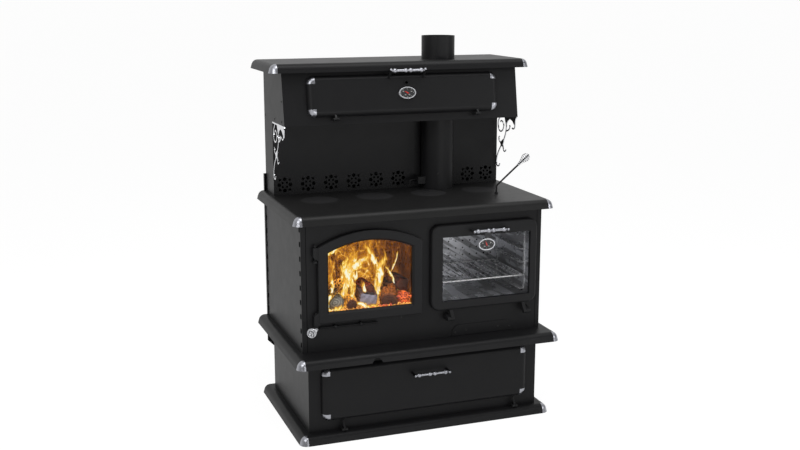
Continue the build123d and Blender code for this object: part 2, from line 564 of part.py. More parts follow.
def rack_guides():
    """A ladder of angle rails on each side wall of the oven."""
    left, right, sill, top = cavity
    ladders = []
    for wall, inward in ((left + SEAT, 1), (right - SEAT, -1)):
        x = sorted((wall, wall + inward * SHEET))
        stiles = [block(*x, y, y + GUIDE_STILE, sill + GUIDE_FIRST, top - GUIDE_FIRST)
                  for y in (guide_front, guide_back - GUIDE_STILE)]
        x = sorted((wall, wall + inward * GUIDE_RAIL))
        rails = [block(*x, guide_front, guide_back, z, z + SHEET)
                 for z in (sill + GUIDE_FIRST + i * GUIDE_PITCH for i in range(GUIDE_COUNT))]
        ladders.append(rails[0] + rails[1:] + stiles)
    return ladders


def oven_rack():
    """A wire rack: a round frame crossed by thinner wires that run front to back."""
    margin = SEAT + GUIDE_RAIL - 2 * RACK_FRAME
    x0, x1 = cavity[0] + margin, cavity[1] - margin
    y0, y1 = guide_front - RACK_OVERHANG, guide_back
    rack = rod((x0, y0, rack_z), (x1, y0, rack_z), RACK_FRAME)
    rack += rod((x0, y1, rack_z), (x1, y1, rack_z), RACK_FRAME)
    for x in (x0, x1):
        rack += rod((x, y0, rack_z), (x, y1, rack_z), RACK_FRAME)
        rack += [Pos(x, y, rack_z) * Sphere(RACK_FRAME) for y in (y0, y1)]
    pitch = (x1 - x0) / (RACK_BARS + 1)
    for i in range(1, RACK_BARS + 1):
        rack += rod((x0 + i * pitch, y0, rack_z), (x0 + i * pitch, y1, rack_z), RACK_ROD)
    return rack


# ---------------------------------------------------------------- fire door

fire_pivot_x, fire_face = fire_left - FIRE_PIVOT_OUT, FIRE_GAP + FIRE_DEPTH
lug_feet = (fire_apex - FIRE_ARCH - HINGE_LUG_TALL, fire_sill - HINGE_LUG_DROP)


def hinge_lug(foot, upside_down):
    """An ear on the door's left edge, tapered away from its pin's end."""
    x0, x1 = fire_left - HINGE_LUG, fire_left + HINGE_LUG / 2
    taper, head = HINGE_LUG * 0.8, foot + HINGE_LUG_TALL
    if upside_down:
        points = [(x0, foot), (x1, foot), (x1, head), (fire_left, head), (x0, head - taper)]
    else:
        points = [(x0, foot + taper), (fire_left, foot), (x1, foot), (x1, head), (x0, head)]
    return Pos(0, 0, FIRE_GAP) * hull_plate(points, FIRE_DEPTH - FIRE_ROUND)


def fire_door():
    """The cast frame: a bevelled arch round the glass, rebated behind, with two hinge ears."""
    frame = extrude(fire_outline(), FIRE_DEPTH) - extrude(fire_outline(FIRE_FRAME), FIRE_DEPTH)
    face = frame.faces().sort_by(Axis.Z)[-1]
    frame = chamfer(face.inner_wires()[0].edges(), FIRE_BEVEL)
    frame = fillet(frame.faces().sort_by(Axis.Z)[-1].outer_wire().edges(), FIRE_ROUND)
    frame -= extrude(fire_outline(FIRE_FRAME - GLASS_REBATE), GLASS_THICK + GLASS_SEAT)
    frame = Pos(0, 0, FIRE_GAP) * frame
    frame += [hinge_lug(lug_feet[0], False), hinge_lug(lug_feet[1], True)]
    for foot in lug_feet:
        frame -= rod((fire_pivot_x, foot - THROUGH, FIRE_PIVOT_Z),
                     (fire_pivot_x, foot + HINGE_LUG_TALL + THROUGH, FIRE_PIVOT_Z), HINGE_PIN + RUNNING)
    return cabinet_face.location * frame


def fire_glass():
    pane = extrude(fire_outline(FIRE_FRAME - GLASS_REBATE + SEAT), GLASS_THICK)
    return cabinet_face.location * (Pos(0, 0, FIRE_GAP + GLASS_SEAT) * pane)


def fire_seal():
    """The rope seal between the door's back and the front plate."""
    ring = extrude(fire_outline(SEAL_INSET), FIRE_GAP - SEAT) - \
        extrude(fire_outline(SEAL_INSET + SEAL_WIDTH), FIRE_GAP)
    return cabinet_face.location * (Pos(0, 0, SEAT) * ring)


def fire_hinges():
    """Two ears on the front plate under the door's own, with its pins; a ball heads the upper pin."""
    x, half = fire_pivot_x, FIRE_PIVOT_OUT - SEAT
    hinges = []
    for foot in lug_feet:
        ear_foot, ear_head, pin_head = foot - FIXED_LUG_TALL, foot - SEAT, foot + HINGE_LUG_TALL - HINGE_PIN / 2
        ear = block(x - half, x + half, ear_foot, ear_head, 0, FIRE_PIVOT_Z)
        ear += rod((x, ear_foot, FIRE_PIVOT_Z), (x, ear_head, FIRE_PIVOT_Z), half)
        if foot == max(lug_feet):
            pin_head = foot + HINGE_LUG_TALL + FINIAL_RADIUS
            ear += Pos(x, pin_head, FIRE_PIVOT_Z) * Sphere(FINIAL_RADIUS)
        pin = rod((x, ear_foot, FIRE_PIVOT_Z), (x, pin_head, FIRE_PIVOT_Z), HINGE_PIN)
        hinges.append(cabinet_face.location * (ear + pin))
    return hinges


# ---------------------------------------------------------------- oven door

oven_pivot_z, oven_face = oven_sill - OVEN_PIVOT_DROP, OVEN_GAP + OVEN_DEPTH
oven_centre, oven_handle_z = (window[0] + window[1]) / 2, oven_top - OVEN_HANDLE_DROP
oven_arms = {-1: (oven_left + OVEN_ARM_LEFT, oven_left + OVEN_ARM_LEFT + OVEN_ARM_WIDE),
             1: (oven_right - OVEN_ARM_RIGHT - OVEN_ARM_WIDE, oven_right - OVEN_ARM_RIGHT)}


def window_block(margin, z0, z1):
    """The oven door's window, let out by a margin all round."""
    x0, x1, y0, y1 = window
    return block(x0 - margin, x1 + margin, y0 - margin, y1 + margin, z0, z1)


def oven_door():
    """The pillowed frame with its hinge arms and handle posts."""
    wide, tall = oven_right - oven_left, oven_top - oven_sill
    outline = Pos(oven_left + wide / 2, oven_sill + tall / 2) * RectangleRounded(wide, tall, OVEN_CORNER)
    frame = extrude(outline, OVEN_DEPTH)
    frame = fillet(frame.faces().sort_by(Axis.Z)[-1].edges(), OVEN_PILLOW)
    frame -= window_block(0, -THROUGH, OVEN_DEPTH + THROUGH)
    frame -= window_block(GLASS_REBATE, -THROUGH, GLASS_THICK + GLASS_SEAT)
    frame = Pos(0, 0, OVEN_GAP) * frame
    for x0, x1 in oven_arms.values():
        plane = Plane(origin=(x0, 0, 0), x_dir=(0, 1, 0), z_dir=(1, 0, 0))
        top, out = oven_sill + OVEN_PILLOW, OVEN_PIVOT_OUT
        arm = hull_plate([(top, OVEN_GAP + SHEET), (top, oven_face - OVEN_PILLOW),
                          (oven_pivot_z, out + KNUCKLE_RADIUS), (oven_pivot_z, out - KNUCKLE_RADIUS)],
                         x1 - x0, plane)
        arm += rod((x0, oven_pivot_z, out), (x1, oven_pivot_z, out), KNUCKLE_RADIUS)
        frame += arm
        frame -= rod((x0 - THROUGH, oven_pivot_z, out), (x1 + THROUGH, oven_pivot_z, out), HINGE_PIN + RUNNING)
    posts = handle_posts(oven_centre, (oven_handle_z, oven_face - DOOR_SHEET),
                         (oven_handle_z, oven_face + HANDLE_STANDOFF))
    return cabinet_face.location * (frame + posts)


def oven_glass():
    z = OVEN_GAP + GLASS_SEAT
    return cabinet_face.location * window_block(GLASS_REBATE - SEAT, z, z + GLASS_THICK)


def oven_handle():
    z = oven_face + HANDLE_STANDOFF
    parts = [bar_handle(oven_centre, oven_handle_z, z)]
    parts += post_nuts(oven_centre, oven_handle_z, z + POST_RADIUS, (0, 0, 1))
    return [cabinet_face.location * part for part in parts]


def oven_hinges():
    """Two lugs on the front plate, each with the pin on which a hinge arm turns."""
    z, out = oven_pivot_z, OVEN_PIVOT_OUT
    low, high = z - KNUCKLE_RADIUS, z + KNUCKLE_RADIUS
    lugs = []
    for side, (x0, x1) in oven_arms.items():
        near, far = (x0, x1) if side < 0 else (x1, x0)
        start = near + side * SEAT
        left, right = sorted((start, start + side * OVEN_LUG_WIDE))
        plane = Plane(origin=(left, 0, 0), x_dir=(0, 1, 0), z_dir=(1, 0, 0))
        lug = hull_plate([(low, 0), (high + KNUCKLE_RADIUS, 0), (high, out), (low, out)], OVEN_LUG_WIDE, plane)
        lug += rod((left, z, out), (right, z, out), KNUCKLE_RADIUS)
        lug += rod((start + side, z, out), (far - side, z, out), HINGE_PIN)
        lugs.append(cabinet_face.location * lug)
    return lugs


# ---------------------------------------------------------------- thermometers

drop_door_face = DOOR_GAP + DOOR_DROP
dial_floor = DIAL_DEEP - DIAL_WELL - DIAL_PLATE
needle_foot = DIAL_DEEP - DIAL_WELL + 2 * SEAT
oven_dial_spot = (oven_centre + OVEN_DIAL_SHIFT, window[3] - OVEN_DIAL_DROP, oven_face)
warm_dial_spot = (WARM_CENTRE, warm_head - WARM_DIAL_DROP, drop_door_face)


def dial_oval(margin, depth):
    return extrude(Ellipse(DIAL_HALF_WIDE - margin, DIAL_HALF_TALL - margin), depth)


def dial_case(x, y, z):
    """An oval case with a bezel round a shallow well, and a blind hole for the needle's shaft."""
    case = dial_oval(0, DIAL_DEEP) - Pos(0, 0, dial_floor) * dial_oval(DIAL_BEZEL, DIAL_DEEP)
    case -= rod((0, 0, dial_floor / 3), (0, 0, DIAL_DEEP), NEEDLE_BORE)
    return Pos(x, y, z) * case


def dial_plate(x, y, z):
    plate = dial_oval(DIAL_BEZEL + SEAT, DIAL_PLATE) - Cylinder(NEEDLE_BORE, 4 * DIAL_PLATE)
    return Pos(x, y, z + dial_floor) * plate


def dial_needle(x, y, z, angle):
    """A tapered pointer with a short tail on a shaft; angle is measured from straight up, leftwards."""
    tip, tail, half = DIAL_HALF_TALL - DIAL_BEZEL - NEEDLE_TIP_GAP, -NEEDLE_TAIL, NEEDLE_WIDE / 2
    pointer = hull_plate([(-half, 0), (-half / 2, tail), (half / 2, tail), (half, 0), (0, tip)], NEEDLE_THICK)
    hub = extrude(Circle(NEEDLE_WIDE / 2 + SEAT), NEEDLE_HUB)
    needle = Pos(0, 0, needle_foot) * (pointer + hub)
    needle += rod((0, 0, dial_floor / 2), (0, 0, needle_foot + NEEDLE_THICK / 2), NEEDLE_SHAFT)
    return Pos(x, y, z) * (Rot(0, 0, angle) * needle)


def oven_thermometer():
    """The oval case hung in front of the window from a tab on the door's face."""
    x, y, z = oven_dial_spot
    tab = block(x - OVEN_DIAL_TAB / 4, x + OVEN_DIAL_TAB * 3 / 4, y + DIAL_HALF_TALL * 0.7,
                window[3] + GLASS_REBATE, z, z + DOOR_SHEET)
    return cabinet_face.location * (dial_case(x, y, z) + (tab - Pos(x, y, z) * dial_oval(0, DIAL_DEEP)))


# ---------------------------------------------------------------- warming cabinet and backsplash

# how far the pipe stands aside of its axis where it meets the backsplash, and its niche
pipe_half = sqrt(max(FLUE_RADIUS ** 2 - max(splash_y - flue_y, 0) ** 2, 0))
niche_left, niche_right = FLUE_X - pipe_half - NICHE_MARGIN, FLUE_X + pipe_half + NICHE_MARGIN


def hood_front_y(z):
    """Where the hood's leaning front lies at a height."""
    return hood_front_foot + (z - hood_floor) * tan(lean)


def hood_side(side):
    """One sheet from cooktop to lid: narrow beside the backsplash, wide beside the cabinet above."""
    plane = Plane(origin=(hood_inside, 0, 0), x_dir=(0, 1, 0), z_dir=(1, 0, 0))
    sheet = hull_plate([(splash_y, cooktop_top), (hood_back_y, cooktop_top), (hood_back_y, hood_head),
                        (hood_front_y(hood_head), hood_head), (hood_front_foot, hood_floor),
                        (splash_y, hood_floor)], SHEET, plane)
    return sheet if side > 0 else mirror(sheet, about=Plane.YZ)


def hood_back():
    return block(-hood_inside, hood_inside, hood_back_y - SHEET, hood_back_y, cooktop_top, hood_head)


def hood_floor_sheet():
    """The warming cabinet's floor, its front edge cut along the leaning front sheet."""
    z0, z1, lap = hood_floor, hood_floor + SHEET, SHEET / cos(lean)
    sheet = block(-hood_inside, hood_inside, hood_front_foot, hood_back_y - SHEET, z0, z1)
    edge = [(hood_front_foot - lap, z0), (hood_front_foot + lap, z0),
            (hood_front_y(z1) + lap, z1), (hood_front_foot - lap, z1)]
    plane = Plane(origin=(-hood_half, 0, 0), x_dir=(0, 1, 0), z_dir=(1, 0, 0))
    return sheet - hull_plate(edge, 2 * hood_half, plane) - flue_opening(hood_floor)


def hood_front_sheet():
    """The leaning front sheet, open behind the warming door."""
    m = WARM_OPENING_MARGIN
    sheet = block(-hood_inside, hood_inside, -SHEET, hood_slope + SHEET, -SHEET, 0)
    sheet -= block(-warm_half + m, warm_half - m, WARM_FOOT + m, warm_head - m, -2 * SHEET, SHEET)
    reach = HOOD_DEPTH / 2
    between = block(-hood_half, hood_half, hood_front_foot - reach, hood_back_y, hood_floor, hood_head)
    return (hood_face.location * sheet) & between


def rosette(x):
    """Twelve holes round a centre: four petals, four points between them and four eyes inside."""
    y = cooktop_top + ROSETTE_RISE
    holes = []
    for i in range(4):
        turn = Rot(0, 0, 90 * i)
        diagonal = Rot(0, 0, 90 * i + 45)
        holes.append(Pos(x, y) * (turn * Pos(PETAL_RING, 0) * RegularPolygon(PETAL_RADIUS, 6)))
        holes.append(Pos(x, y) * (diagonal * Pos(POINT_RING, 0) * RegularPolygon(POINT_RADIUS, 3)))
        holes.append(Pos(x, y) * (diagonal * Pos(EYE_RING, 0) * RegularPolygon(EYE_RADIUS, 4)))
    return holes


def splash_panel(x0, x1, first, last, count, niche_wall):
    """A backsplash sheet pierced by a row of rosettes, folded back beside the flue."""
    face = Plane(origin=(0, splash_y, 0), x_dir=(1, 0, 0), z_dir=(0, -1, 0))
    sheet = block(x0, x1, cooktop_top, hood_floor, -DOOR_SHEET, 0)
    for i in range(count):
        x = first + (last - first) * i / (count - 1)
        sheet -= [extrude(hole, 2 * DOOR_SHEET, both=True) for hole in rosette(x)]
    wall = block(niche_wall, niche_wall + DOOR_SHEET, splash_y, hood_back_y - SHEET, cooktop_top, hood_floor)
    return face.location * sheet + wall


def splash_left():
    first, last = ROSETTE_LEFT_START - hood_inside, niche_left - ROSETTE_LEFT_END
    return splash_panel(-hood_inside, niche_left, first, last, ROSETTE_LEFT_COUNT, niche_left - DOOR_SHEET)


def splash_right():
    first, last = niche_right + ROSETTE_RIGHT_START, hood_inside - ROSETTE_RIGHT_END
    return splash_panel(niche_right, hood_inside, first, last, ROSETTE_RIGHT_COUNT, niche_right)


def scroll_brackets():
    """Flat scrolls under both ends of the hood's overhang.

    They are drawn in shares of the overhang, forwards, and of their own drop, downwards."""
    rail = [(0, 0.015), (0.98, 0.015)]
    spiral = [(0.20, 0.16), (0.25, 0.133), (0.31, 0.15), (0.36, 0.20), (0.33, 0.28), (0.22, 0.33),
              (0.13, 0.305), (0.088, 0.24), (0.095, 0.155), (0.145, 0.09), (0.21, 0.02)]
    stem = [(0.40, 0.02), (0.447, 0.115), (0.488, 0.20), (0.485, 0.275), (0.44, 0.38), (0.36, 0.48),
            (0.17, 0.66), (0.075, 0.77), (0.03, 0.87), (0.04, 0.955), (0.11, 0.98), (0.18, 0.95), (0.19, 0.92)]
    inner_curl = [(0.49, 0.30), (0.585, 0.276), (0.65, 0.235), (0.645, 0.18)]
    pendant = [(0.935, 0.02), (0.905, 0.10), (0.90, 0.16), (0.885, 0.205), (0.825, 0.228), (0.77, 0.215)]
    back_leaf = [(0.36, 0.48), (0.30, 0.53), (0.215, 0.53), (0.145, 0.50), (0.13, 0.46), (0.155, 0.43)]
    front_leaf = [(0.29, 0.53), (0.35, 0.62), (0.41, 0.675), (0.47, 0.66), (0.49, 0.637)]
    web = [(0.39, 0), (0.515, 0.165), (0.565, 0.112), (0.66, 0.068), (0.78, 0.092), (0.85, 0.142),
           (0.905, 0.155), (0.915, 0.06), (0.97, 0)]
    knot = [(0.34, 0.46), (0.20, 0.535), (0.25, 0.60), (0.32, 0.60), (0.38, 0.50)]
    forward, down = splash_y - hood_front_foot, SCROLL_DROP
    outline = None
    for drawn in (rail, spiral, stem, inner_curl, pendant, back_leaf, front_leaf):
        points = [(x * forward, y * down) for x, y in drawn]
        line = Spline(*points) if len(points) > 2 else Line(*points)
        stroke = trace(line, SCROLL_STROKE)
        outline = stroke if outline is None else outline + stroke
    for drawn in (web, knot):
        points = [(x * forward, y * down) for x, y in drawn]
        outline += make_face(Polyline(*points, close=True))
    plane = Plane(origin=(hood_half - SCROLL_THICK, splash_y, hood_floor), x_dir=(0, -1, 0), z_dir=(1, 0, 0))
    bracket = extrude(plane * outline, SCROLL_THICK, dir=(1, 0, 0))
    return [bracket, mirror(bracket, about=Plane.YZ)]


def rear_shield():
    """A sheet behind the cabinet on four stand-offs, its feet cut off and its edges folded forwards."""
    c, x = SHIELD_CHAMFER, CABINET_HALF + SHIELD_SIDE
    foot, head = cabinet_foot - SHIELD_DROP, cooktop_top + SHIELD_RISE
    y = CABINET_BACK + SHIELD_STANDOFF
    plane = Plane(origin=(0, y + DOOR_SHEET, 0), x_dir=(1, 0, 0), z_dir=(0, -1, 0))
    sheet = hull_plate([(-x + c, foot), (x - c, foot), (x, foot + c), (x, head), (-x, head), (-x, foot + c)],
                       DOOR_SHEET, plane)
    for edge in (-x, x - DOOR_SHEET):
        for z0, z1 in ((shelf_top + RUNNING, cooktop_top - slab_roll.drop - RUNNING), (cooktop_top + RUNNING, head)):
            sheet += block(edge, edge + DOOR_SHEET, y + DOOR_SHEET - SHIELD_FLANGE, y + DOOR_SHEET, z0, z1)
    for side in (-1, 1):
        for z in (cabinet_foot + STANDOFF_INSET, cabinet_head - STANDOFF_INSET):
            sx = side * (CABINET_HALF - STANDOFF_INSET)
            sheet += rod((sx, CABINET_BACK, z), (sx, y + DOOR_SHEET / 2, z), STANDOFF_RADIUS)
    return sheet


# ---------------------------------------------------------------- flue

flue_rod_z = cooktop_top + FLUE_ROD_RISE


def tube(z0, z1, radius):
    """A length of pipe standing on the flue's axis, its wall inside the radius."""
    outer, inner = Circle(radius), Circle(radius - FLUE_WALL)
    return Pos(FLUE_X, flue_y, z0) * extrude(outer - inner, z1 - z0)


def flue_pipe():
    """Two lengths of pipe: the upper one's spigot stands in the lower one, inside the warming cabinet."""
    meet, spigot = lid_top - FLUE_JOINT_DROP, FLUE_RADIUS - FLUE_WALL - SEAT
    bore = rod((FLUE_X - 2 * FLUE_RADIUS, flue_y, flue_rod_z), (FLUE_X + 2 * FLUE_RADIUS, flue_y, flue_rod_z),
               ROD_RADIUS + RUNNING)
    shoulder = Circle(FLUE_RADIUS) - Circle(spigot - FLUE_WALL)
    upper = tube(meet, flue_top, FLUE_RADIUS) + tube(meet - FLUE_SPIGOT, meet, spigot)
    upper += Pos(FLUE_X, flue_y, meet) * extrude(shoulder, FLUE_WALL)
    return [tube(cooktop_top, meet, FLUE_RADIUS) - bore, upper]


def flue_damper():
    """A disc on a shaft across the pipe, whose outer end is bent down into a handle."""
    z, leg_x = flue_rod_z, FLUE_X - FLUE_LEG_OUT
    path = FilletPolyline((FLUE_X + FLUE_RADIUS + ROD_RADIUS, flue_y, z), (leg_x, flue_y, z),
                          (leg_x, flue_y, z - FLUE_LEG), radius=ROD_BEND)
    shaft = sweep(Plane(origin=path @ 0, z_dir=path % 0) * Circle(ROD_RADIUS), path=path)
    disc = rod((FLUE_X, flue_y - DISC_THICK / 2, z), (FLUE_X, flue_y + DISC_THICK / 2, z),
               FLUE_RADIUS - FLUE_WALL - DISC_CLEAR)
    return shaft + disc


def damper_index():
    """The small plate beside the pipe, with a web that steadies the damper's shaft."""
    x1 = FLUE_X - sqrt(FLUE_RADIUS ** 2 - (INDEX_OUT - INDEX_THICK) ** 2) - SEAT
    x0, y0 = x1 - INDEX_WIDE, flue_y - INDEX_OUT
    z0, z1 = flue_rod_z - INDEX_TALL / 2, flue_rod_z + INDEX_TALL / 2
    plate = block(x0, x1, y0, y0 + INDEX_THICK, z0, z1)
    plate += block(x0, x0 + INDEX_THICK, y0, flue_y + INDEX_WEB, z0, z1)
    return plate - rod((x0 - THROUGH, flue_y, flue_rod_z), (x1, flue_y, flue_rod_z), ROD_RADIUS + RUNNING)


# ---------------------------------------------------------------- rods with coil handles

oven_slope, air_turn = radians(OVEN_ROD_SLOPE), radians(AIR_ROD_TURN)
oven_bend = Vector(OVEN_ROD_X, OVEN_ROD_Y, cooktop_top + OVEN_ROD_RISE)
oven_arm = Vector(cos(oven_slope), 0, sin(oven_slope))
air_bend = Vector(fire_left + AIR_ROD_INSET, CABINET_FRONT - AIR_ROD_OUT, fire_sill - AIR_ROD_DROP)
air_arm = Vector(-sin(air_turn), -cos(air_turn), 0)


def cranked_rod(start, bend, arm, arm_length):
    """A rod from start to a bend, then along the arm to the tip of its coil handle."""
    path = FilletPolyline(start, bend, bend + arm * (arm_length + COIL_LENGTH), radius=ROD_BEND)
    return sweep(Plane(origin=path @ 0, z_dir=path % 0) * Circle(ROD_RADIUS), path=path)


def oven_damper():
    """A rod up through the cooktop, cranked over to its handle, with a flap below in the smoke way."""
    x, y = OVEN_ROD_X, OVEN_ROD_Y
    foot = Vector(x, y, cavity[3] + LINER_SHEET + FLAP_CLEAR)
    flap = block(x - FLAP_HALF, x + FLAP_HALF, y - SHEET / 2, y + SHEET / 2, foot.Z, foot.Z + FLAP_TALL)
    collar = rod((x, y, cooktop_top + SEAT), (x, y, cooktop_top + ROD_COLLAR), 2 * ROD_RADIUS)
    return cranked_rod(foot, oven_bend, oven_arm, OVEN_ROD_ARM) + flap + collar


def oven_damper_coil():
    return Plane(origin=oven_bend + oven_arm * OVEN_ROD_ARM, z_dir=oven_arm).location * coil_handle()


def air_control():
    """A rod that slides along under the fire door, its end cranked out to the handle."""
    end = air_bend + Vector(AIR_ROD_LENGTH, 0, 0)
    return cranked_rod(end, air_bend, air_arm, AIR_ARM) + Pos(end.X, end.Y, end.Z) * Sphere(AIR_KNOB)


def air_control_coil():
    return Plane(origin=air_bend + air_arm * AIR_ARM, z_dir=air_arm).location * coil_handle()


def air_guides():
    """Two eyes on the front plate that carry the air control rod."""
    z, half, radius = air_bend.Z, AIR_GUIDE_WIDE / 2, AIR_GUIDE_RADIUS
    eyes = []
    for i in range(2):
        x = air_bend.X + AIR_GUIDE_FIRST + i * AIR_GUIDE_SPACE
        eye = block(x - half, x + half, z - radius, z + radius, 0, AIR_ROD_OUT)
        eye += rod((x - half, z, AIR_ROD_OUT), (x + half, z, AIR_ROD_OUT), radius)
        eye -= rod((x - 2 * half, z, AIR_ROD_OUT), (x + 2 * half, z, AIR_ROD_OUT), ROD_RADIUS + RUNNING)
        eyes.append(cabinet_face.location * eye)
    return eyes


# ---------------------------------------------------------------- drop doors with rolled edges

strap_eye = STRAP_PIN + RUNNING + STRAP_WALL


def strap(x, foot_y, top_y, top_z, pivot_out):
    """A hinge strap from the door's lower rim to the eye round its pin."""
    half = STRAP_WIDE / 2
    plane = Plane(origin=(x - half, 0, 0), x_dir=(0, 1, 0), z_dir=(1, 0, 0))
    band = hull_plate([(top_y, top_z), (top_y, top_z + STRAP_THICK), (foot_y, pivot_out + strap_eye),
                       (foot_y, pivot_out + strap_eye - STRAP_THICK)], STRAP_WIDE, plane)
    band += rod((x - half, foot_y, pivot_out), (x + half, foot_y, pivot_out), strap_eye)
    return band - rod((x - STRAP_WIDE, foot_y, pivot_out), (x + STRAP_WIDE, foot_y, pivot_out),
                      STRAP_PIN + RUNNING)


def drop_door(half, foot, head, pivot_up, pivot_out, hinge_xs, strap_top, posts):
    """A sheet door with all its edges rolled back, open at the corners for the caps.

    Its straps leave it at strap_top, which is how far above its foot and how far out."""
    sheet = rolled_sheet(-half, half, foot, head, door_roll, DOOR_SHEET, back_rolled=True)
    door = Pos(0, 0, drop_door_face) * sheet
    for x in hinge_xs:
        door += strap(x, pivot_up, foot + strap_top[0], strap_top[1], pivot_out)
    return door + posts


def drop_hinges(hinge_xs, pivot_up, pivot_out, plane):
    """The pins of a drop door's hinges, each held by two ears on the face behind it."""
    half, hinges = STRAP_WIDE / 2 + SEAT, []
    for x in hinge_xs:
        ends = (x - half - STRAP_EAR, x + half + STRAP_EAR)
        hinge = rod((ends[0], pivot_up, pivot_out), (ends[1], pivot_up, pivot_out), STRAP_PIN)
        for x0 in (ends[0], x + half):
            hinge += block(x0, x0 + STRAP_EAR, pivot_up - strap_eye, pivot_up + strap_eye, 0, pivot_out)
            hinge += rod((x0, pivot_up, pivot_out), (x0 + STRAP_EAR, pivot_up, pivot_out), strap_eye)
        hinges.append(plane.location * hinge)
    return hinges


def door_corner_caps(half, foot, head, plane):
    caps = corner_caps(-half, half, foot, head, door_roll, DOOR_SHEET, back_rolled=True)
    return [plane.location * (Pos(0, 0, drop_door_face) * cap) for cap in caps]


warm_post_foot, warm_handle_up = warm_head - WARM_POST_DROP, warm_head + WARM_HANDLE_RISE
store_pivot_z, store_handle_z = plinth_top + STORE_PIVOT_RISE, store_head - STORE_HANDLE_DROP


def warming_door():
    """The warming cabinet's door, with a short vent boss and posts that lean up to its handle."""
    boss_up, face = warm_head - WARM_BOSS_DROP, drop_door_face
    posts = handle_posts(WARM_CENTRE, (warm_post_foot, face - DOOR_SHEET), (warm_handle_up, WARM_HANDLE_OUT))
    inside = block(-warm_half, warm_half, WARM_FOOT, warm_head, 0, face - DOOR_SHEET)
    posts = [post - inside for post in posts]
    strap_top = (WARM_STRAP_RISE, drop_door_face - door_roll.drop / 3)
    door = drop_door(warm_half, WARM_FOOT, warm_head, WARM_PIVOT_UP, WARM_PIVOT_OUT, warm_hinges, strap_top, posts)
    boss = rod((WARM_CENTRE, boss_up, face - DOOR_SHEET / 2), (WARM_CENTRE, boss_up, face + WARM_BOSS_TALL),
               WARM_BOSS_RADIUS)
    bore = rod((WARM_CENTRE, boss_up, 0), (WARM_CENTRE, boss_up, 2 * face), WARM_BOSS_BORE)
    return hood_face.location * (door + boss - bore)


def warming_handle():
    reach = Vector(0, warm_handle_up - warm_post_foot, WARM_HANDLE_OUT - drop_door_face + DOOR_SHEET)
    reach = reach.normalized()
    tip = Vector(WARM_CENTRE, warm_handle_up, WARM_HANDLE_OUT) + reach * POST_RADIUS
    parts = [bar_handle(WARM_CENTRE, warm_handle_up, WARM_HANDLE_OUT)] + post_nuts(*tip, reach)
    return [hood_face.location * part for part in parts]


def storage_door():
    posts = handle_posts(STORE_HANDLE_X, (store_handle_z, drop_door_face - DOOR_SHEET),
                         (store_handle_z, drop_door_face + HANDLE_STANDOFF))
    strap_top = (DOOR_SHEET, DOOR_GAP + STRAP_THICK)
    door = drop_door(store_half, store_foot, store_head, store_pivot_z, STORE_PIVOT_OUT, store_hinges,
                     strap_top, posts)
    return pedestal_face.location * door


def storage_handle():
    z = drop_door_face + HANDLE_STANDOFF
    parts = [bar_handle(STORE_HANDLE_X, store_handle_z, z)]
    parts += post_nuts(STORE_HANDLE_X, store_handle_z, z + POST_RADIUS, (0, 0, 1))
    return [pedestal_face.location * part for part in parts]


def drop_door_hinges():
    return drop_hinges(warm_hinges, WARM_PIVOT_UP, WARM_PIVOT_OUT, hood_face) + \
        drop_hinges(store_hinges, store_pivot_z, STORE_PIVOT_OUT, pedestal_face)


# ---------------------------------------------------------------- every node

NODES = {
    "base_plinth": lambda: slab(plinth_size, SHEET),
    "base_pan": base_pan,
    "plinth_corner_caps": lambda: slab_caps(plinth_size),
    "pedestal_case": pedestal_case,
    "mid_shelf": mid_shelf,
    "shelf_corner_caps": lambda: slab_caps(shelf_size),
    "cabinet_front": cabinet_front,
    "cabinet_side_left": lambda: cabinet_side(-1),
    "cabinet_side_right": lambda: cabinet_side(1),
    "cabinet_back": cabinet_back,
    "cleanout_cover": cleanout_cover,
    "firebox_shell": firebox_shell,
    "firebricks": firebricks,
    "baffle_plate": baffle_plate,
    "secondary_air_tubes": air_tubes,
    "oven_liner": oven_liner,
    "oven_rack_guides": rack_guides,
    "oven_rack": oven_rack,
    "fire_door": fire_door,
    "fire_door_glass": fire_glass,
    "fire_door_seal": fire_seal,
    "fire_door_hinges": fire_hinges,
    "oven_door": oven_door,
    "oven_door_glass": oven_glass,
    "oven_door_handle": oven_handle,
    "oven_door_hinges": oven_hinges,
    "oven_thermometer": oven_thermometer,
    "oven_thermometer_dial": lambda: cabinet_face.location * dial_plate(*oven_dial_spot),
    "oven_thermometer_needle": lambda: cabinet_face.location * dial_needle(*oven_dial_spot, OVEN_NEEDLE_ANGLE),
    "cooktop": cooktop,
    "cooktop_corner_caps": lambda: slab_caps(cooktop_size),
    "oven_damper_rod": oven_damper,
    "oven_damper_coil": oven_damper_coil,
    "air_control_rod": air_control,
    "air_control_coil": air_control_coil,
    "air_control_guides": air_guides,
    "flue_pipe": flue_pipe,
    "flue_damper": flue_damper,
    "flue_damper_index": damper_index,
    "backsplash_left": splash_left,
    "backsplash_right": splash_right,
    "hood_side_left": lambda: hood_side(-1),
    "hood_side_right": lambda: hood_side(1),
    "hood_back": hood_back,
    "hood_floor": hood_floor_sheet,
    "hood_front": hood_front_sheet,
    "lid": lid,
    "lid_corner_caps": lambda: slab_caps(lid_size),
    "scroll_brackets": scroll_brackets,
    "drop_door_hinges": drop_door_hinges,
    "warming_door": warming_door,
    "warming_door_corner_caps": lambda: door_corner_caps(warm_half, WARM_FOOT, warm_head, hood_face),
    "warming_door_handle": warming_handle,
    "warming_thermometer": lambda: hood_face.location * dial_case(*warm_dial_spot),
    "warming_thermometer_dial": lambda: hood_face.location * dial_plate(*warm_dial_spot),
    "warming_thermometer_needle": lambda: hood_face.location * dial_needle(*warm_dial_spot, WARM_NEEDLE_ANGLE),
    "storage_door": storage_door,
    "storage_door_corner_caps": lambda: door_corner_caps(store_half, store_foot, store_head, pedestal_face),
    "storage_door_handle": storage_handle,
    "rear_heat_shield": rear_shield,
}

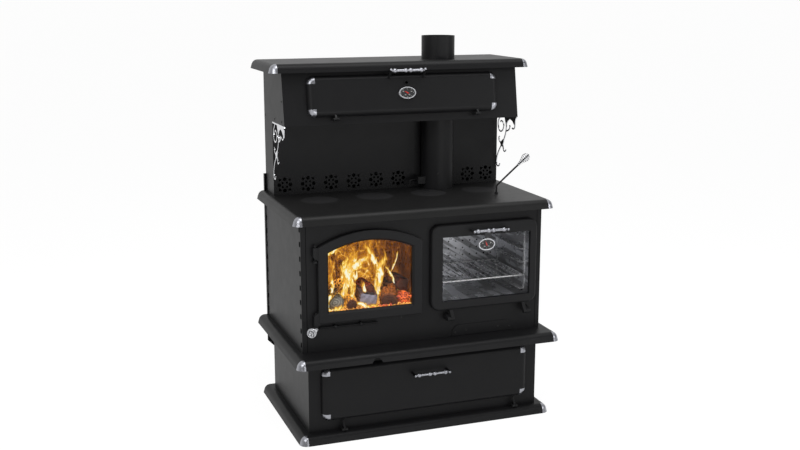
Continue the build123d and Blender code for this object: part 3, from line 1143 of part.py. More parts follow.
os.makedirs("parts", exist_ok=True)
for name, make in NODES.items():
    shape = make()
    solids = [s for piece in (shape if isinstance(shape, list) else [shape]) for s in piece.solids()]
    export_step(solids[0] if len(solids) == 1 else Compound(children=solids), f"parts/{name}.step")
print("least gap between turns of a coil handle:", round(coil_gap(), 2), "mm")
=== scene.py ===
# %% [markdown]
# # A wood-burning cookstove, dressed for its picture
# The stove's body, doors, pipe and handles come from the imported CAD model. They are the frame: nothing moves or
# reshapes them here. This notebook gives each of them a finish, adds the small things that a CAD model leaves
# out, such as screws, dial marks and the fire, and sets up a studio around the stove.

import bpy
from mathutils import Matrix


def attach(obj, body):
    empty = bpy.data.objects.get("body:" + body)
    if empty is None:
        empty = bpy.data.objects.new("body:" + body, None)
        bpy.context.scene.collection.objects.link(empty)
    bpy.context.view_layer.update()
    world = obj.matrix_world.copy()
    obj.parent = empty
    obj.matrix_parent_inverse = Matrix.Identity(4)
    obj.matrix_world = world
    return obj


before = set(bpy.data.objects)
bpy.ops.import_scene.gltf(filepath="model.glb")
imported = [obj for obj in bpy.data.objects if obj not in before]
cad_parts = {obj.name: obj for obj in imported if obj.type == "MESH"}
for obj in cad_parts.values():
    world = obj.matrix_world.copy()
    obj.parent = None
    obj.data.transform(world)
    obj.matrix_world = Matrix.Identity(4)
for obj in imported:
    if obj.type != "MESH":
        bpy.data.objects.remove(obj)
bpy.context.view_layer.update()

# %% Tools used throughout
import random
from math import cos, pi, radians, sin

import bmesh
import bpy
from mathutils import Matrix, Vector, noise

scene = bpy.context.scene
MM = 0.001


def put(name, data):
    """Link new data to the scene as an object."""
    obj = bpy.data.objects.new(name, data)
    scene.collection.objects.link(obj)
    return obj


# %% [markdown]
# ## The camera
# The place of the camera was worked out from the stove's straight edges in the photograph. A long lens, from a
# little above the lid and to the left, keeps the uprights nearly parallel.

# %% Set the camera at the photograph's angle
CAMERA_PLACE = (-1.6885, -4.5865, 1.9076)        # m
LOOKS_DOWN, LOOKS_RIGHT = 12.169, 20.041        # degrees
camera_data = bpy.data.cameras.new("photograph")
camera_data.sensor_width = 36        # mm
camera_data.lens = 49.41        # mm
camera_data.clip_end = 2000        # m, past the floor's edge
camera = put("photograph", camera_data)
camera.location = CAMERA_PLACE
camera.rotation_euler = (radians(90 - LOOKS_DOWN), 0, radians(-LOOKS_RIGHT))
scene.camera = camera
print("camera", CAMERA_PLACE, "lens", camera_data.lens)

# %% [markdown]
# ## Helpers for finishes
# A finish is a small network of nodes. One function turns a written colour into the light that Blender adds up,
# one adds a node with its settings and links, and one starts a material with its shader. A pattern's scale is
# worked out from a real size in millimetres, so that grain and mottling are as large as on the real thing.

# %% Colour, node and material helpers
def colour(written):
    """A written sRGB colour, such as #1c1c1c, as linear red, green, blue and alpha."""
    parts = [int(written[i:i + 2], 16) / 255 for i in (1, 3, 5)]
    return tuple(p / 12.92 if p < 0.04045 else ((p + 0.055) / 1.055) ** 2.4 for p in parts) + (1.0,)


def feed(tree, node, inputs):
    """Set a node's inputs to values or link sockets to them; a node stands for its own first output."""
    for name, value in dict(inputs).items():
        if isinstance(value, bpy.types.Node):
            value = value.outputs[0]
        if isinstance(value, bpy.types.NodeSocket):
            tree.links.new(value, node.inputs[name])
        else:
            node.inputs[name].default_value = value


def add(tree, kind, inputs=(), **settings):
    """Add a node with its choices, which are the settings, and its inputs."""
    node = tree.nodes.new(kind)
    for name, value in settings.items():
        setattr(node, name, value)
    feed(tree, node, inputs)
    return node


def per(size):
    """The scale of a pattern whose marks are this many millimetres wide."""
    return 1000 / size


def start(name, **values):
    """A new material with one shader; values set the shader's own sockets."""
    material = bpy.data.materials.new(name)
    material.use_nodes = True
    tree = material.node_tree
    tree.nodes.clear()
    shader = add(tree, "ShaderNodeBsdfPrincipled", values)
    add(tree, "ShaderNodeOutputMaterial", {"Surface": shader})
    place = add(tree, "ShaderNodeTexCoord").outputs["Object"]
    return material, tree, shader, place


# %% Helpers that change a finish already made
def opened(material):
    """A made material's tree, its shader and the place on its piece."""
    nodes = {node.type: node for node in material.node_tree.nodes}
    return material.node_tree, nodes["BSDF_PRINCIPLED"], nodes["TEX_COORD"].outputs["Object"]


def lay_over(tree, shader, share, written):
    """Lay a second colour over a finish, as strongly as share says at each spot."""
    under = shader.inputs["Base Color"].links[0].from_socket
    tint = add(tree, "ShaderNodeMixRGB", {"Fac": share, "Color1": under, "Color2": colour(written)})
    feed(tree, shader, {"Base Color": tint})


def mix_in(tree, share, shader, other):
    """Show another shader in place of a material's own, as strongly as share says."""
    both = add(tree, "ShaderNodeMixShader", {0: share, 1: shader, 2: other})
    feed(tree, next(node for node in tree.nodes if node.type == "OUTPUT_MATERIAL"), {"Surface": both})


# %% [markdown]
# ## Stove paint on sheet steel
# The cabinet, hood and doors are sheet steel, sprayed with black paint that stands high heat. The paint is
# satin: it is nearly black when seen straight on, and turns grey at a low angle, because its surface then
# mirrors the bright room. Fine spray grain and slow mottling keep the wide panels from looking like plastic.
# The corners of bent sheet are slightly round. The Bevel node shows that to the light and leaves the mesh as it
# is.

# %% Make the stove paint
EDGE_ROUND = 0.7        # mm, how round a bent corner looks
MOTTLE, STREAK = 140, 60        # mm, the widths of the paint's slow mottling and of its gloss streaks


def painted(name, dark, light, rough, grain, depth):
    """A satin paint: two near colours mottled, spray grain as bump, rounder edges for the light."""
    material, tree, shader, place = start(name, **{"IOR": 1.5, "Specular IOR Level": 0.13})
    mottle = add(tree, "ShaderNodeTexNoise", {"Vector": place, "Scale": per(MOTTLE), "Detail": 5.0})
    tint = add(tree, "ShaderNodeMixRGB", {"Fac": mottle, "Color1": colour(dark), "Color2": colour(light)})
    streak = add(tree, "ShaderNodeTexNoise", {
        "Vector": place, "Scale": per(STREAK), "Detail": 6.0, "Roughness": 0.65})
    gloss = add(tree, "ShaderNodeMapRange", {
        "Value": streak, "From Min": 0.3, "From Max": 0.7, "To Min": rough - 0.02, "To Max": rough + 0.02})
    spray = add(tree, "ShaderNodeTexNoise", {"Vector": place, "Scale": per(grain), "Detail": 2.0})
    edge = add(tree, "ShaderNodeBevel", {"Radius": EDGE_ROUND * MM}, samples=4)
    bump = add(tree, "ShaderNodeBump", {
        "Strength": 0.35, "Distance": depth * MM, "Height": spray, "Normal": edge})
    feed(tree, shader, {"Base Color": tint, "Roughness": gloss, "Normal": bump})
    return material


paint = painted("satin_black_heat_paint_on_steel", "#131314", "#181819", 0.42, 1.6, 0.05)
print(paint.name)

# %% [markdown]
# ## Cast iron under paint
# The doors' frames, the hinges and the damper rods are cast iron. A casting keeps the grain of its sand mould
# under the paint, so the bumps are larger and the gloss is lower than on sheet.

# %% Make the painted cast iron
iron = painted("satin_black_cast_iron", "#161617", "#1c1c1d", 0.46, 3.2, 0.16)
print(iron.name)

# %% [markdown]
# ## The cooktop
# Cast iron again, but polished by cleaning. Four round places over the fire and the oven are very slightly
# lighter from heat. Each is drawn from the distance to its middle, so it stays where it is on the plate.

# %% Make the cooktop's finish
HEAT_RINGS = ((-387.5, 21, 82), (-127.5, 26, 82), (129.5, 17, 80), (376, 17, 76))      # x, y and radius in mm
RING_FADE, RING_SHARE = 3, 0.6        # mm either side of a ring's edge, and how strongly its colour is laid on

cooktop_iron = painted("cleaned_cast_iron_cooktop", "#191919", "#1f1f1f", 0.40, 3.0, 0.10)
tree, shader, place = opened(cooktop_iron)
flat = add(tree, "ShaderNodeVectorMath", {0: place, 1: (1, 1, 0)}, operation="MULTIPLY")
marked = None
for x, y, radius in HEAT_RINGS:
    away = add(tree, "ShaderNodeVectorMath", {0: flat, 1: (x * MM, y * MM, 0)}, operation="DISTANCE")
    inside = add(tree, "ShaderNodeMapRange", {
        "Value": away.outputs["Value"], "From Min": (radius + RING_FADE) * MM,
        "From Max": (radius - RING_FADE) * MM})
    if marked:
        inside = add(tree, "ShaderNodeMath", {0: marked, 1: inside}, operation="MAXIMUM")
    marked = inside
faint = add(tree, "ShaderNodeMath", {0: marked, 1: RING_SHARE}, operation="MULTIPLY")
lay_over(tree, shader, faint, "#303031")
print(cooktop_iron.name)

# %% [markdown]
# ## Bright plating
# The corner caps, the handles, the thermometers' rims and the scrolls are plated and polished. A mirror has
# hardly any colour of its own, so what matters is a clean metal with faint smears where hands and cloths went.

# %% Make the plating
def metal(name, light, dark, rough, smear, size, edge_round, metallic=1.0):
    """A metal in two near colours; smears of this size (mm) change its gloss, and its edges look round."""
    material, tree, shader, place = start(name, **{"Metallic": metallic})
    cloud = add(tree, "ShaderNodeTexNoise", {
        "Vector": place, "Scale": per(size), "Detail": 5.0, "Roughness": 0.6})
    tint = add(tree, "ShaderNodeMixRGB", {"Fac": cloud, "Color1": colour(light), "Color2": colour(dark)})
    gloss = add(tree, "ShaderNodeMapRange", {
        "Value": cloud, "From Min": 0.35, "From Max": 0.7, "To Min": rough, "To Max": rough + smear})
    edge = add(tree, "ShaderNodeBevel", {"Radius": edge_round * MM}, samples=4)
    feed(tree, shader, {"Base Color": tint, "Roughness": gloss, "Normal": edge})
    return material


# satin plate gives broad soft lights, and polished scrollwork sharp ones
chrome = metal("satin_chrome_plate", "#a9aab0", "#909197", 0.30, 0.08, 35, 0.8)
scroll_plate = metal("plated_iron_scrollwork", "#dcdde0", "#c8c9cc", 0.06, 0.05, 18, 0.8)
# a drawn wire and a rack's rods catch one thin light along each rod
wire_steel = metal("drawn_spring_steel_wire", "#dadbde", "#c2c3c7", 0.30, 0.14, 9, 0.4)
rack_wire = metal("plated_oven_rack_wire", "#d2d3d6", "#b9babe", 0.22, 0.12, 20, 0.4, 0.6)
# plain sheet is dull and cloudy, the oven's is brighter and cleaner
grey_steel = metal("plain_grey_sheet_steel", "#8f9094", "#7c7d82", 0.38, 0.16, 60, 1.0)
oven_steel = metal("polished_oven_sheet_with_painted_reflections", "#c4c6cd", "#b0b2ba", 0.26, 0.06, 45, 0.6, 0.6)
# the dials' rims stay pale all round, so they are less than fully metallic
rim_chrome = metal("bright_chrome_dial_rim", "#cfd0d3", "#bcbdc1", 0.22, 0.10, 20, 0.6, 0.5)
print([m.name for m in (chrome, scroll_plate, wire_steel, rack_wire, grey_steel, oven_steel, rim_chrome)])

# %% Painted reflections of the rack and its guides: slanting dark streaks on the oven's sheet
RACK_REFLECTION_ACROSS = (0.54, 0, 0.84)        # the streaks run along Y on the sides, and slant down over the back
RACK_REFLECTION_ALONG, RACK_REFLECTION_DEEP = (0.10, 0, -0.065), (0, 0.10, 0)        # the short steps draw them out long
tree, shader, place = opened(oven_steel)
steps = [add(tree, "ShaderNodeVectorMath", {0: place, 1: way}, operation="DOT_PRODUCT").outputs["Value"]
         for way in (RACK_REFLECTION_ACROSS, RACK_REFLECTION_ALONG, RACK_REFLECTION_DEEP)]
drawn_out = add(tree, "ShaderNodeCombineXYZ", {"X": steps[0], "Y": steps[1], "Z": steps[2]})
streak = add(tree, "ShaderNodeTexNoise", {"Vector": drawn_out, "Scale": per(30), "Detail": 1.5})
# the dark streaks are painted reflections of the rack and its guides
dark = add(tree, "ShaderNodeMapRange", {"Value": streak, "From Min": 0.47, "From Max": 0.52})
lay_over(tree, shader, dark, "#74757a")
print(oven_steel.name)

# %% The oven thermometer hangs from a dark strap above its bright rim
RIM_CENTRE, RIM_HALF = (275.55, 810), (39.0, 26.0)        # x and z of the oval rim, and its half sizes, in mm
hanging_rim = metal("chrome_rim_on_dark_strap", "#cfd0d3", "#bcbdc1", 0.22, 0.10, 20, 0.6, 0.5)
tree, shader, place = opened(hanging_rim)
centre = (RIM_CENTRE[0] * MM, 0, RIM_CENTRE[1] * MM)
off = add(tree, "ShaderNodeVectorMath", {0: place, 1: centre}, operation="SUBTRACT")
oval = add(tree, "ShaderNodeVectorMath", {0: off, 1: (per(RIM_HALF[0]), 0, per(RIM_HALF[1]))},
           operation="MULTIPLY")
reach = add(tree, "ShaderNodeVectorMath", {0: oval}, operation="LENGTH")
outside = add(tree, "ShaderNodeMapRange", {"Value": reach.outputs["Value"], "From Min": 1.01, "From Max": 1.04})
lay_over(tree, shader, outside, "#2c2c2e")
print(hanging_rim.name)

# %% The air rod is black inside and bright where it carries its coil handle
BRIGHT_FROM, BLACK_FROM = -0.308, -0.306        # m along Y, where the rod's bright end turns black
bright_tip = metal("bright_tip_of_air_rod", "#dadbde", "#c2c3c7", 0.30, 0.14, 9, 0.4, 0.8)
tree, shader, place = opened(bright_tip)
depth = add(tree, "ShaderNodeSeparateXYZ", {"Vector": place})
inside = add(tree, "ShaderNodeMapRange", {
    "Value": depth.outputs["Y"], "From Min": BRIGHT_FROM, "From Max": BLACK_FROM})
lay_over(tree, shader, inside, "#171718")
print(bright_tip.name)

# %% [markdown]
# ## Door glass
# Ceramic glass is thin and clear. Light has to pass it freely to reach the fire and the oven behind, so rays
# that carry shadows go straight through, and so do those that have been mirrored or bent once already.

# %% Make the glass
glass, tree, shader, place = start("clear_ceramic_glass", **{
    "Base Color": colour("#f4f2ec"), "Roughness": 0.02, "IOR": 1.25, "Transmission Weight": 1.0})
ray = add(tree, "ShaderNodeLightPath").outputs
clear = add(tree, "ShaderNodeBsdfTransparent")
later = add(tree, "ShaderNodeMath", {0: ray["Ray Depth"], 1: 0.5}, operation="GREATER_THAN")
passing = add(tree, "ShaderNodeMath", {0: ray["Is Shadow Ray"], 1: later}, operation="MAXIMUM")
mix_in(tree, passing, shader, clear)
print(glass.name)

# %% [markdown]
# ## Firebrick, rope and dials
# Firebricks are pressed clay: pale buff, full of grit, and blackened by soot near the fire. The fire door's
# seal is twisted glass rope, drawn as slanting strands. Dials are flat black enamel and the needles red.

# %% Make the firebrick
brick, tree, shader, place = start("sooty_pressed_firebrick", **{"Roughness": 0.92, "IOR": 1.45})
grit = add(tree, "ShaderNodeTexNoise", {"Vector": place, "Scale": per(6), "Detail": 6.0, "Roughness": 0.7})
soot = add(tree, "ShaderNodeTexNoise", {"Vector": place, "Scale": per(110), "Detail": 4.0})
smoke = add(tree, "ShaderNodeMapRange", {"Value": soot, "From Min": 0.35, "From Max": 0.6})
clay = add(tree, "ShaderNodeMixRGB", {"Fac": grit, "Color1": colour("#6f6048"), "Color2": colour("#9a8665")})
burnt = add(tree, "ShaderNodeMixRGB", {"Fac": smoke, "Color1": clay, "Color2": colour("#2b2620")})
pits = add(tree, "ShaderNodeBump", {"Strength": 0.6, "Distance": 0.8 * MM, "Height": grit})
feed(tree, shader, {"Base Color": burnt, "Normal": pits})
print(brick.name)

# %% Make the rope seal
rope, tree, shader, place = start("twisted_glass_rope", **{"Roughness": 0.9, "Sheen Weight": 0.2})
slant = add(tree, "ShaderNodeMapping", {"Vector": place, "Rotation": (0.6, 0.7, 0.5)})
strand = add(tree, "ShaderNodeTexWave", {
    "Vector": slant, "Scale": per(24), "Distortion": 1.5, "Detail": 2.0}, wave_type="BANDS").outputs["Fac"]
dust = add(tree, "ShaderNodeMixRGB", {"Fac": strand, "Color1": colour("#26241f"), "Color2": colour("#4c4a44")})
twist = add(tree, "ShaderNodeBump", {"Strength": 0.7, "Distance": 1.2 * MM, "Height": strand})
feed(tree, shader, {"Base Color": dust, "Normal": twist})
print(rope.name)

# %% Make the dial, print and needle finishes
def enamel(name, written, rough, coat=0.2):
    """An even enamel with faint specks; without a coat it is matt and mirrors hardly anything."""
    material, tree, shader, place = start(name, **{"IOR": 1.5, "Coat Weight": coat, "Coat Roughness": 0.1,
                                                   "Specular IOR Level": 0.5 if coat else 0.05})
    speck = add(tree, "ShaderNodeTexNoise", {"Vector": place, "Scale": per(4), "Detail": 3.0})
    base = colour(written)
    dim = tuple(c * 0.8 for c in base[:3]) + (1.0,)
    tint = add(tree, "ShaderNodeMixRGB", {"Fac": speck, "Color1": dim, "Color2": base})
    gloss = add(tree, "ShaderNodeMapRange", {"Value": speck, "To Min": rough - 0.04, "To Max": rough + 0.04})
    feed(tree, shader, {"Base Color": tint, "Roughness": gloss})
    return material


dial_black = enamel("flat_black_dial_enamel", "#101012", 0.5)
dial_print = enamel("white_dial_print", "#c9c9c6", 0.5)
needle_red = enamel("red_needle_enamel", "#c3271b", 0.35)
print([m.name for m in (dial_black, dial_print, needle_red)])

# %% [markdown]
# ## Give every CAD part its finish
# A CAD part keeps its mesh. Only the material in its slots changes, and the list below says which finish goes
# where: whatever is not named is painted sheet.

# %% Assign the finishes
FINISHES = {
    iron: ("fire_door", "fire_door_hinges", "oven_door", "oven_door_hinges", "oven_damper_rod",
           "air_control_guides", "flue_damper", "drop_door_hinges"),
    bright_tip: ("air_control_rod",),
    cooktop_iron: ("cooktop",),
    chrome: ("plinth_corner_caps", "shelf_corner_caps", "cooktop_corner_caps", "lid_corner_caps",
             "warming_door_corner_caps", "storage_door_corner_caps", "oven_door_handle", "warming_door_handle",
             "storage_door_handle"),
    rim_chrome: ("warming_thermometer",),
    hanging_rim: ("oven_thermometer",),
    scroll_plate: ("scroll_brackets",),
    wire_steel: ("oven_damper_coil", "air_control_coil"),
    grey_steel: ("secondary_air_tubes", "baffle_plate", "firebox_shell"),
    oven_steel: ("oven_liner",),
    rack_wire: ("oven_rack", "oven_rack_guides"),
    glass: ("fire_door_glass", "oven_door_glass"),
    brick: ("firebricks",),
    rope: ("fire_door_seal",),
    dial_black: ("oven_thermometer_dial", "warming_thermometer_dial"),
    needle_red: ("oven_thermometer_needle", "warming_thermometer_needle"),
}
finish_of = {name: finish for finish, names in FINISHES.items() for name in names}
for name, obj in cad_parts.items():
    if not obj.material_slots:
        obj.data.materials.append(None)
    for slot in obj.material_slots:
        slot.material = finish_of.get(name, paint)
print("painted sheet:", sorted(set(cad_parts) - set(finish_of)))

# %% [markdown]
# ## A way to finish a new piece
# A new piece is made where it belongs, in metres, with its object at the origin. It then rides on the body that
# carries it, so that it swings with its door. Most pieces here stand still, on the body named stove. Many start
# as rows of corners, so one function fills the space between such rows with faces.

# %% Piece helpers
def skin(shape, rows, closed=False):
    """Fill the space between rows of corners with faces; closed rows join up at their ends."""
    made = []
    for j, (low, high) in enumerate(zip(rows, rows[1:])):
        for i in range(len(low) if closed else len(low) - 1):
            k = (i + 1) % len(low)
            made.append((shape.faces.new((low[i], low[k], high[k], high[i])), i, j))
    return made


def as_mesh(name, shape):
    """Plain mesh data from a shape that was built corner by corner."""
    data = bpy.data.meshes.new(name)
    shape.to_mesh(data)
    shape.free()
    return data


def piece(name, data, body, *materials, smooth=False):
    """Link mesh data as a finished piece that rides on a body."""
    for material in materials:
        data.materials.append(material)
    if smooth:
        for face in data.polygons:
            face.use_smooth = True
    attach(put(name, data), body)
    print(name, len(data.polygons), "faces")


# %% [markdown]
# ## A way to repeat a shape
# What repeats is work for Geometry Nodes: a small tree of nodes makes the shape once and sets a copy of it on
# every point. The five trees below share their beginning, which is a set of named inputs, and their end, where
# the copies become real faces and get their finish. The result is kept as a plain mesh.

# %% Helpers for Geometry Nodes
def open_tree(name, **kinds):
    """A tree with named inputs, each of a kind of socket, and a finish as its last input."""
    tree = bpy.data.node_groups.new(name, "GeometryNodeTree")
    for label, kind in {"Geometry": "Geometry", **kinds, "Finish": "Material"}.items():
        tree.interface.new_socket(label.replace("_", " "), in_out="INPUT", socket_type="NodeSocket" + kind)
    tree.interface.new_socket("Geometry", in_out="OUTPUT", socket_type="NodeSocketGeometry")
    return tree, add(tree, "NodeGroupInput").outputs


def repeat(tree, given, points, shape, **how):
    """End a tree: a copy of the shape on every point, made real and given its finish."""
    spread = add(tree, "GeometryNodeInstanceOnPoints", {"Points": points, "Instance": shape, **how})
    real = add(tree, "GeometryNodeRealizeInstances", {"Geometry": spread})
    done = add(tree, "GeometryNodeSetMaterial", {"Geometry": real, "Material": given["Finish"]})
    add(tree, "NodeGroupOutput", {"Geometry": done})
    return tree


def run_tree(obj, tree, inputs):
    """Run a Geometry Nodes tree on an object and keep the plain mesh that it gives."""
    modifier = obj.modifiers.new("grow", "NODES")
    modifier.node_group = tree
    sockets = {s.name: s.identifier for s in tree.interface.items_tree
               if s.item_type == "SOCKET" and s.in_out == "INPUT"}
    for label, value in inputs.items():
        modifier[sockets[label]] = value
    bpy.context.view_layer.update()
    made = bpy.data.meshes.new_from_object(obj.evaluated_get(bpy.context.evaluated_depsgraph_get()))
    obj.modifiers.remove(modifier)
    obj.data = made
    made.name = obj.name


def grow(name, data, tree, inputs, place=Matrix()):
    """A piece that a tree makes from mesh data, moved to its place, on the body that stands still."""
    obj = put(name, data)
    run_tree(obj, tree, inputs)
    obj.data.transform(place)
    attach(obj, "stove")
    print(name, len(obj.data.polygons), "faces")


# %% [markdown]
# ## Screws
# Sheet-metal stoves are put together with small screws, and a viewer looks for them. Their heads are all one
# shape, so Geometry Nodes makes one head, a low dome on a washer with a cross-shaped socket, and sets a copy on
# every point, turned to face away from its panel.

# %% Points that face a way
def facing_points(name, points, ways):
    """Mesh data of loose points (m) that each keep the way they face."""
    data = bpy.data.meshes.new(name)
    data.from_pydata([tuple(point) for point in points], [], [])
    for entry, way in zip(data.attributes.new("facing", "FLOAT_VECTOR", "POINT").data, ways):
        entry.vector = way
    return data


def turned_out(tree):
    """The turn that sets a copy's own Z along the way its point faces."""
    facing = add(tree, "GeometryNodeInputNamedAttribute", {"Name": "facing"}, data_type="FLOAT_VECTOR")
    return add(tree, "FunctionNodeAlignRotationToVector", {"Vector": facing.outputs["Attribute"]}, axis="Z")


# %% Build the screw-head tree
def screw_tree():
    """A dome with a cross cut into it, on a washer."""
    tree, given = open_tree("screw heads", Head_radius="Float", Head_height="Float")
    radius, height = given["Head radius"], given["Head height"]
    ball = add(tree, "GeometryNodeMeshUVSphere", {"Segments": 14, "Rings": 8, "Radius": 1.0})
    size = add(tree, "ShaderNodeCombineXYZ", {"X": radius, "Y": radius, "Z": height})
    dome = add(tree, "GeometryNodeTransform", {"Geometry": ball, "Scale": size})
    wide = add(tree, "ShaderNodeMath", {0: radius, 1: 1.35}, operation="MULTIPLY")
    thin = add(tree, "ShaderNodeMath", {0: height, 1: 0.7}, operation="MULTIPLY")
    washer = add(tree, "GeometryNodeMeshCylinder", {"Vertices": 14, "Radius": wide, "Depth": thin})
    ends = add(tree, "ShaderNodeMath", {0: radius, 1: 1.15}, operation="MULTIPLY")
    slim = add(tree, "ShaderNodeMath", {0: radius, 1: 0.24}, operation="MULTIPLY")
    deep = add(tree, "ShaderNodeMath", {0: height, 1: 0.9}, operation="MULTIPLY")
    bar = add(tree, "GeometryNodeMeshCube", {
        "Size": add(tree, "ShaderNodeCombineXYZ", {"X": ends, "Y": slim, "Z": deep})})
    lift = add(tree, "ShaderNodeCombineXYZ", {"Z": height})
    slot = add(tree, "GeometryNodeTransform", {"Geometry": bar, "Translation": lift})
    cross = add(tree, "GeometryNodeTransform", {"Geometry": slot, "Rotation": (0, 0, pi / 2)})
    cut = add(tree, "GeometryNodeMeshBoolean", {"Mesh 1": dome, "Mesh 2": slot}, operation="DIFFERENCE")
    feed(tree, cut, {"Mesh 2": cross})
    head = add(tree, "GeometryNodeJoinGeometry", {0: cut})
    feed(tree, head, {0: washer})
    return repeat(tree, given, given["Geometry"], head, Rotation=turned_out(tree))


# dark steel, made near-black as painted shade round each head: a dark dome with one small light on it
screw_steel = metal("dark_screw_steel_with_painted_shade", "#0c0c0d", "#070708", 0.40, 0.10, 3, 0.4, 0.3)
print(screw_steel.name)

# %% Place the screws
HOOD_SCREWS = ((15, 1431), (148, 1343), (23, 1344), (330, 1343), (330, 1560))      # y and z on a side, in mm
SCREWS = (      # the way each group faces, and x, y and z of its screws in mm
    ((0, -1, 0), [(142, -283.1, 411), (407, -283.1, 412), (195, -283.1, 417), (351, -283.1, 419)]),
    ((0, -1, 0), [(-113, -280.1, 509), (275, -280.1, 439), (200, 77.9, 1065)]),
    ((-1, 0, 0), [(-551.3, y, z) for y, z in HOOD_SCREWS]),
    ((1, 0, 0), [(551.3, y, z) for y, z in HOOD_SCREWS]),
    ((0, 1, 0), [(x, 342.2, z) for x in (-530, -270, 0, 270, 530) for z in (1345, 1555)]),
)
points = [Vector(spot) * MM for way, spots in SCREWS for spot in spots]
ways = [way for way, spots in SCREWS for spot in spots]
grow("panel_screws", facing_points("panel_screws", points, ways), screw_tree(),
     {"Head radius": 4.2 * MM, "Head height": 2.2 * MM, "Finish": screw_steel})

# %% [markdown]
# ## Slots and seams of the cabinet
# Each side of the cabinet has slots along both upright edges. Sheet that is punched curls in a little, so every
# slot has a lip, and the lip is black as painted shade, the shade inside the slot. The lips are one small ring
# repeated down an edge, which is work for Geometry Nodes. Where a side's folded edge meets the front plate there
# is a thin dark joint.

# %% Build the slot-lip tree
def lip_tree():
    """A thin rod bent round a slot."""
    tree, given = open_tree("slot lips", Slot_length="Float", Slot_width="Float", Lip_radius="Float")
    outline = add(tree, "GeometryNodeCurvePrimitiveQuadrilateral", {
        "Width": given["Slot length"], "Height": given["Slot width"]})
    rod = add(tree, "GeometryNodeCurvePrimitiveCircle", {"Resolution": 8, "Radius": given["Lip radius"]})
    ring = add(tree, "GeometryNodeCurveToMesh", {"Curve": outline, "Profile Curve": rod})
    return repeat(tree, given, given["Geometry"], ring, Rotation=turned_out(tree))


# black without gloss: painted shade for the slots and the vent holes, and the dark of the front joints
joint_black_and_painted_shade = enamel("black_of_joints_and_painted_shade", "#020202", 0.9, coat=0.0)
print(joint_black_and_painted_shade.name)

# %% Set a lip round every slot
SLOT_FOOT, SLOT_PITCH, SLOT_COUNT = 427.1, 62.6, 9        # the lowest slot's middle and the step up, in mm
SLOT_COLUMNS, SIDE_FACE = (-265.1, 326.0), 557.1        # y of each column, and x of the sides, in mm
points = [Vector((side * SIDE_FACE, y, SLOT_FOOT + i * SLOT_PITCH)) * MM
          for side in (-1, 1) for y in SLOT_COLUMNS for i in range(SLOT_COUNT)]
ways = [(1 if point.x > 0 else -1, 0, 0) for point in points]
# each lip is black, painted shade for the inside of its slot
grow("side_slot_lips", facing_points("side_slot_lips", points, ways), lip_tree(),
     {"Slot length": 19 * MM, "Slot width": 7.0 * MM, "Lip radius": 2.0 * MM, "Finish": joint_black_and_painted_shade})

# %% Draw the two joints
JOINT_X, JOINT_FOOT, JOINT_HEAD = 535.1, 394.6, 986.2        # mm
JOINT_SECTION = ((-1.1, -280.1), (0, -280.7), (1.1, -280.1), (0, -279.6))        # x off the joint, and y, in mm
shape = bmesh.new()
for side in (-1, 1):
    ends = [[shape.verts.new(Vector((side * JOINT_X + off, y, z)) * MM) for off, y in JOINT_SECTION]
            for z in (JOINT_FOOT, JOINT_HEAD)]
    skin(shape, ends, closed=True)
    for end in ends:
        shape.faces.new(end)
bmesh.ops.recalc_face_normals(shape, faces=shape.faces)
piece("front_joints", as_mesh("front_joints", shape), "stove", joint_black_and_painted_shade)

# %% [markdown]
# ## Dial marks
# Each thermometer has white marks around an oval dial. They follow a rule, so Geometry Nodes lays points round
# an oval and sets a small bar on each, pointing at the middle. Plain numbers are added as text that is then
# made a mesh.

# %% Build the dial-mark tree
def mark_tree():
    """Bars round an oval, each pointing at its middle."""
    tree, given = open_tree("dial marks", Marks="Int", Half_width="Float", Half_height="Float",
                            Mark_length="Float", Mark_width="Float", Mark_thickness="Float")
    ring = add(tree, "GeometryNodeCurvePrimitiveCircle", {"Resolution": 128, "Radius": 1.0})
    size = add(tree, "ShaderNodeCombineXYZ", {"X": given["Half width"], "Y": given["Half height"], "Z": 1.0})
    oval = add(tree, "GeometryNodeTransform", {"Geometry": ring, "Scale": size})
    even = add(tree, "GeometryNodeCurveToPoints", {"Curve": oval, "Count": given["Marks"]}, mode="COUNT")
    spot = add(tree, "GeometryNodeInputPosition")
    turn = add(tree, "FunctionNodeAlignRotationToVector", {"Vector": spot}, axis="X")
    bar = add(tree, "GeometryNodeMeshCube", {"Size": add(tree, "ShaderNodeCombineXYZ", {
        "X": given["Mark length"], "Y": given["Mark width"], "Z": given["Mark thickness"]})})
    return repeat(tree, given, even, bar, Rotation=turn)


marks = mark_tree()
print(marks.name)

# %% Helpers that make one dial's marks and numbers
MARKS = ((8, (30.5, 17.8), 3.4, 1.1), (40, (31.8, 18.9), 1.2, 0.3))      # count, oval, length, width in mm
MARK_THICK, NUMBER_SIZE, NUMBER_THICK = 0.3, 5.4, 0.12        # mm


def ring_of_marks(name, count, half, length, width):
    """The mesh data of one ring of marks."""
    holder = put(name, bpy.data.meshes.new(name))
    run_tree(holder, marks, {
        "Marks": count, "Half width": half[0] * MM, "Half height": half[1] * MM, "Mark length": length * MM,
        "Mark width": width * MM, "Mark thickness": MARK_THICK * MM, "Finish": dial_print})
    data = holder.data
    bpy.data.objects.remove(holder)
    return data


def number(name, text, x, y):
    """The mesh data of one number, its middle at x and y (mm)."""
    curve = bpy.data.curves.new(name + "_" + text, "FONT")
    curve.body = text
    curve.size = NUMBER_SIZE * MM
    curve.extrude = NUMBER_THICK * MM
    curve.align_x = "CENTER"
    curve.align_y = "CENTER"
    letters = put(curve.name, curve)
    bpy.context.view_layer.update()
    data = bpy.data.meshes.new_from_object(letters.evaluated_get(bpy.context.evaluated_depsgraph_get()))
    data.transform(Matrix.Translation((x * MM, y * MM, 0)))
    data.materials.clear()
    data.materials.append(dial_print)
    bpy.data.objects.remove(letters)
    return data


# %% Draw both dials
HOOD_LEAN = radians(9.9)
HOOD_FOOT = (-28.3, 1327.9)        # y and z of the hood front's lowest edge, in mm
NUMBER_SPOTS = ((-19, 5.5), (-10, -8.6), (10, -8.6), (19.5, 5.5))        # x and y on the dial, in mm


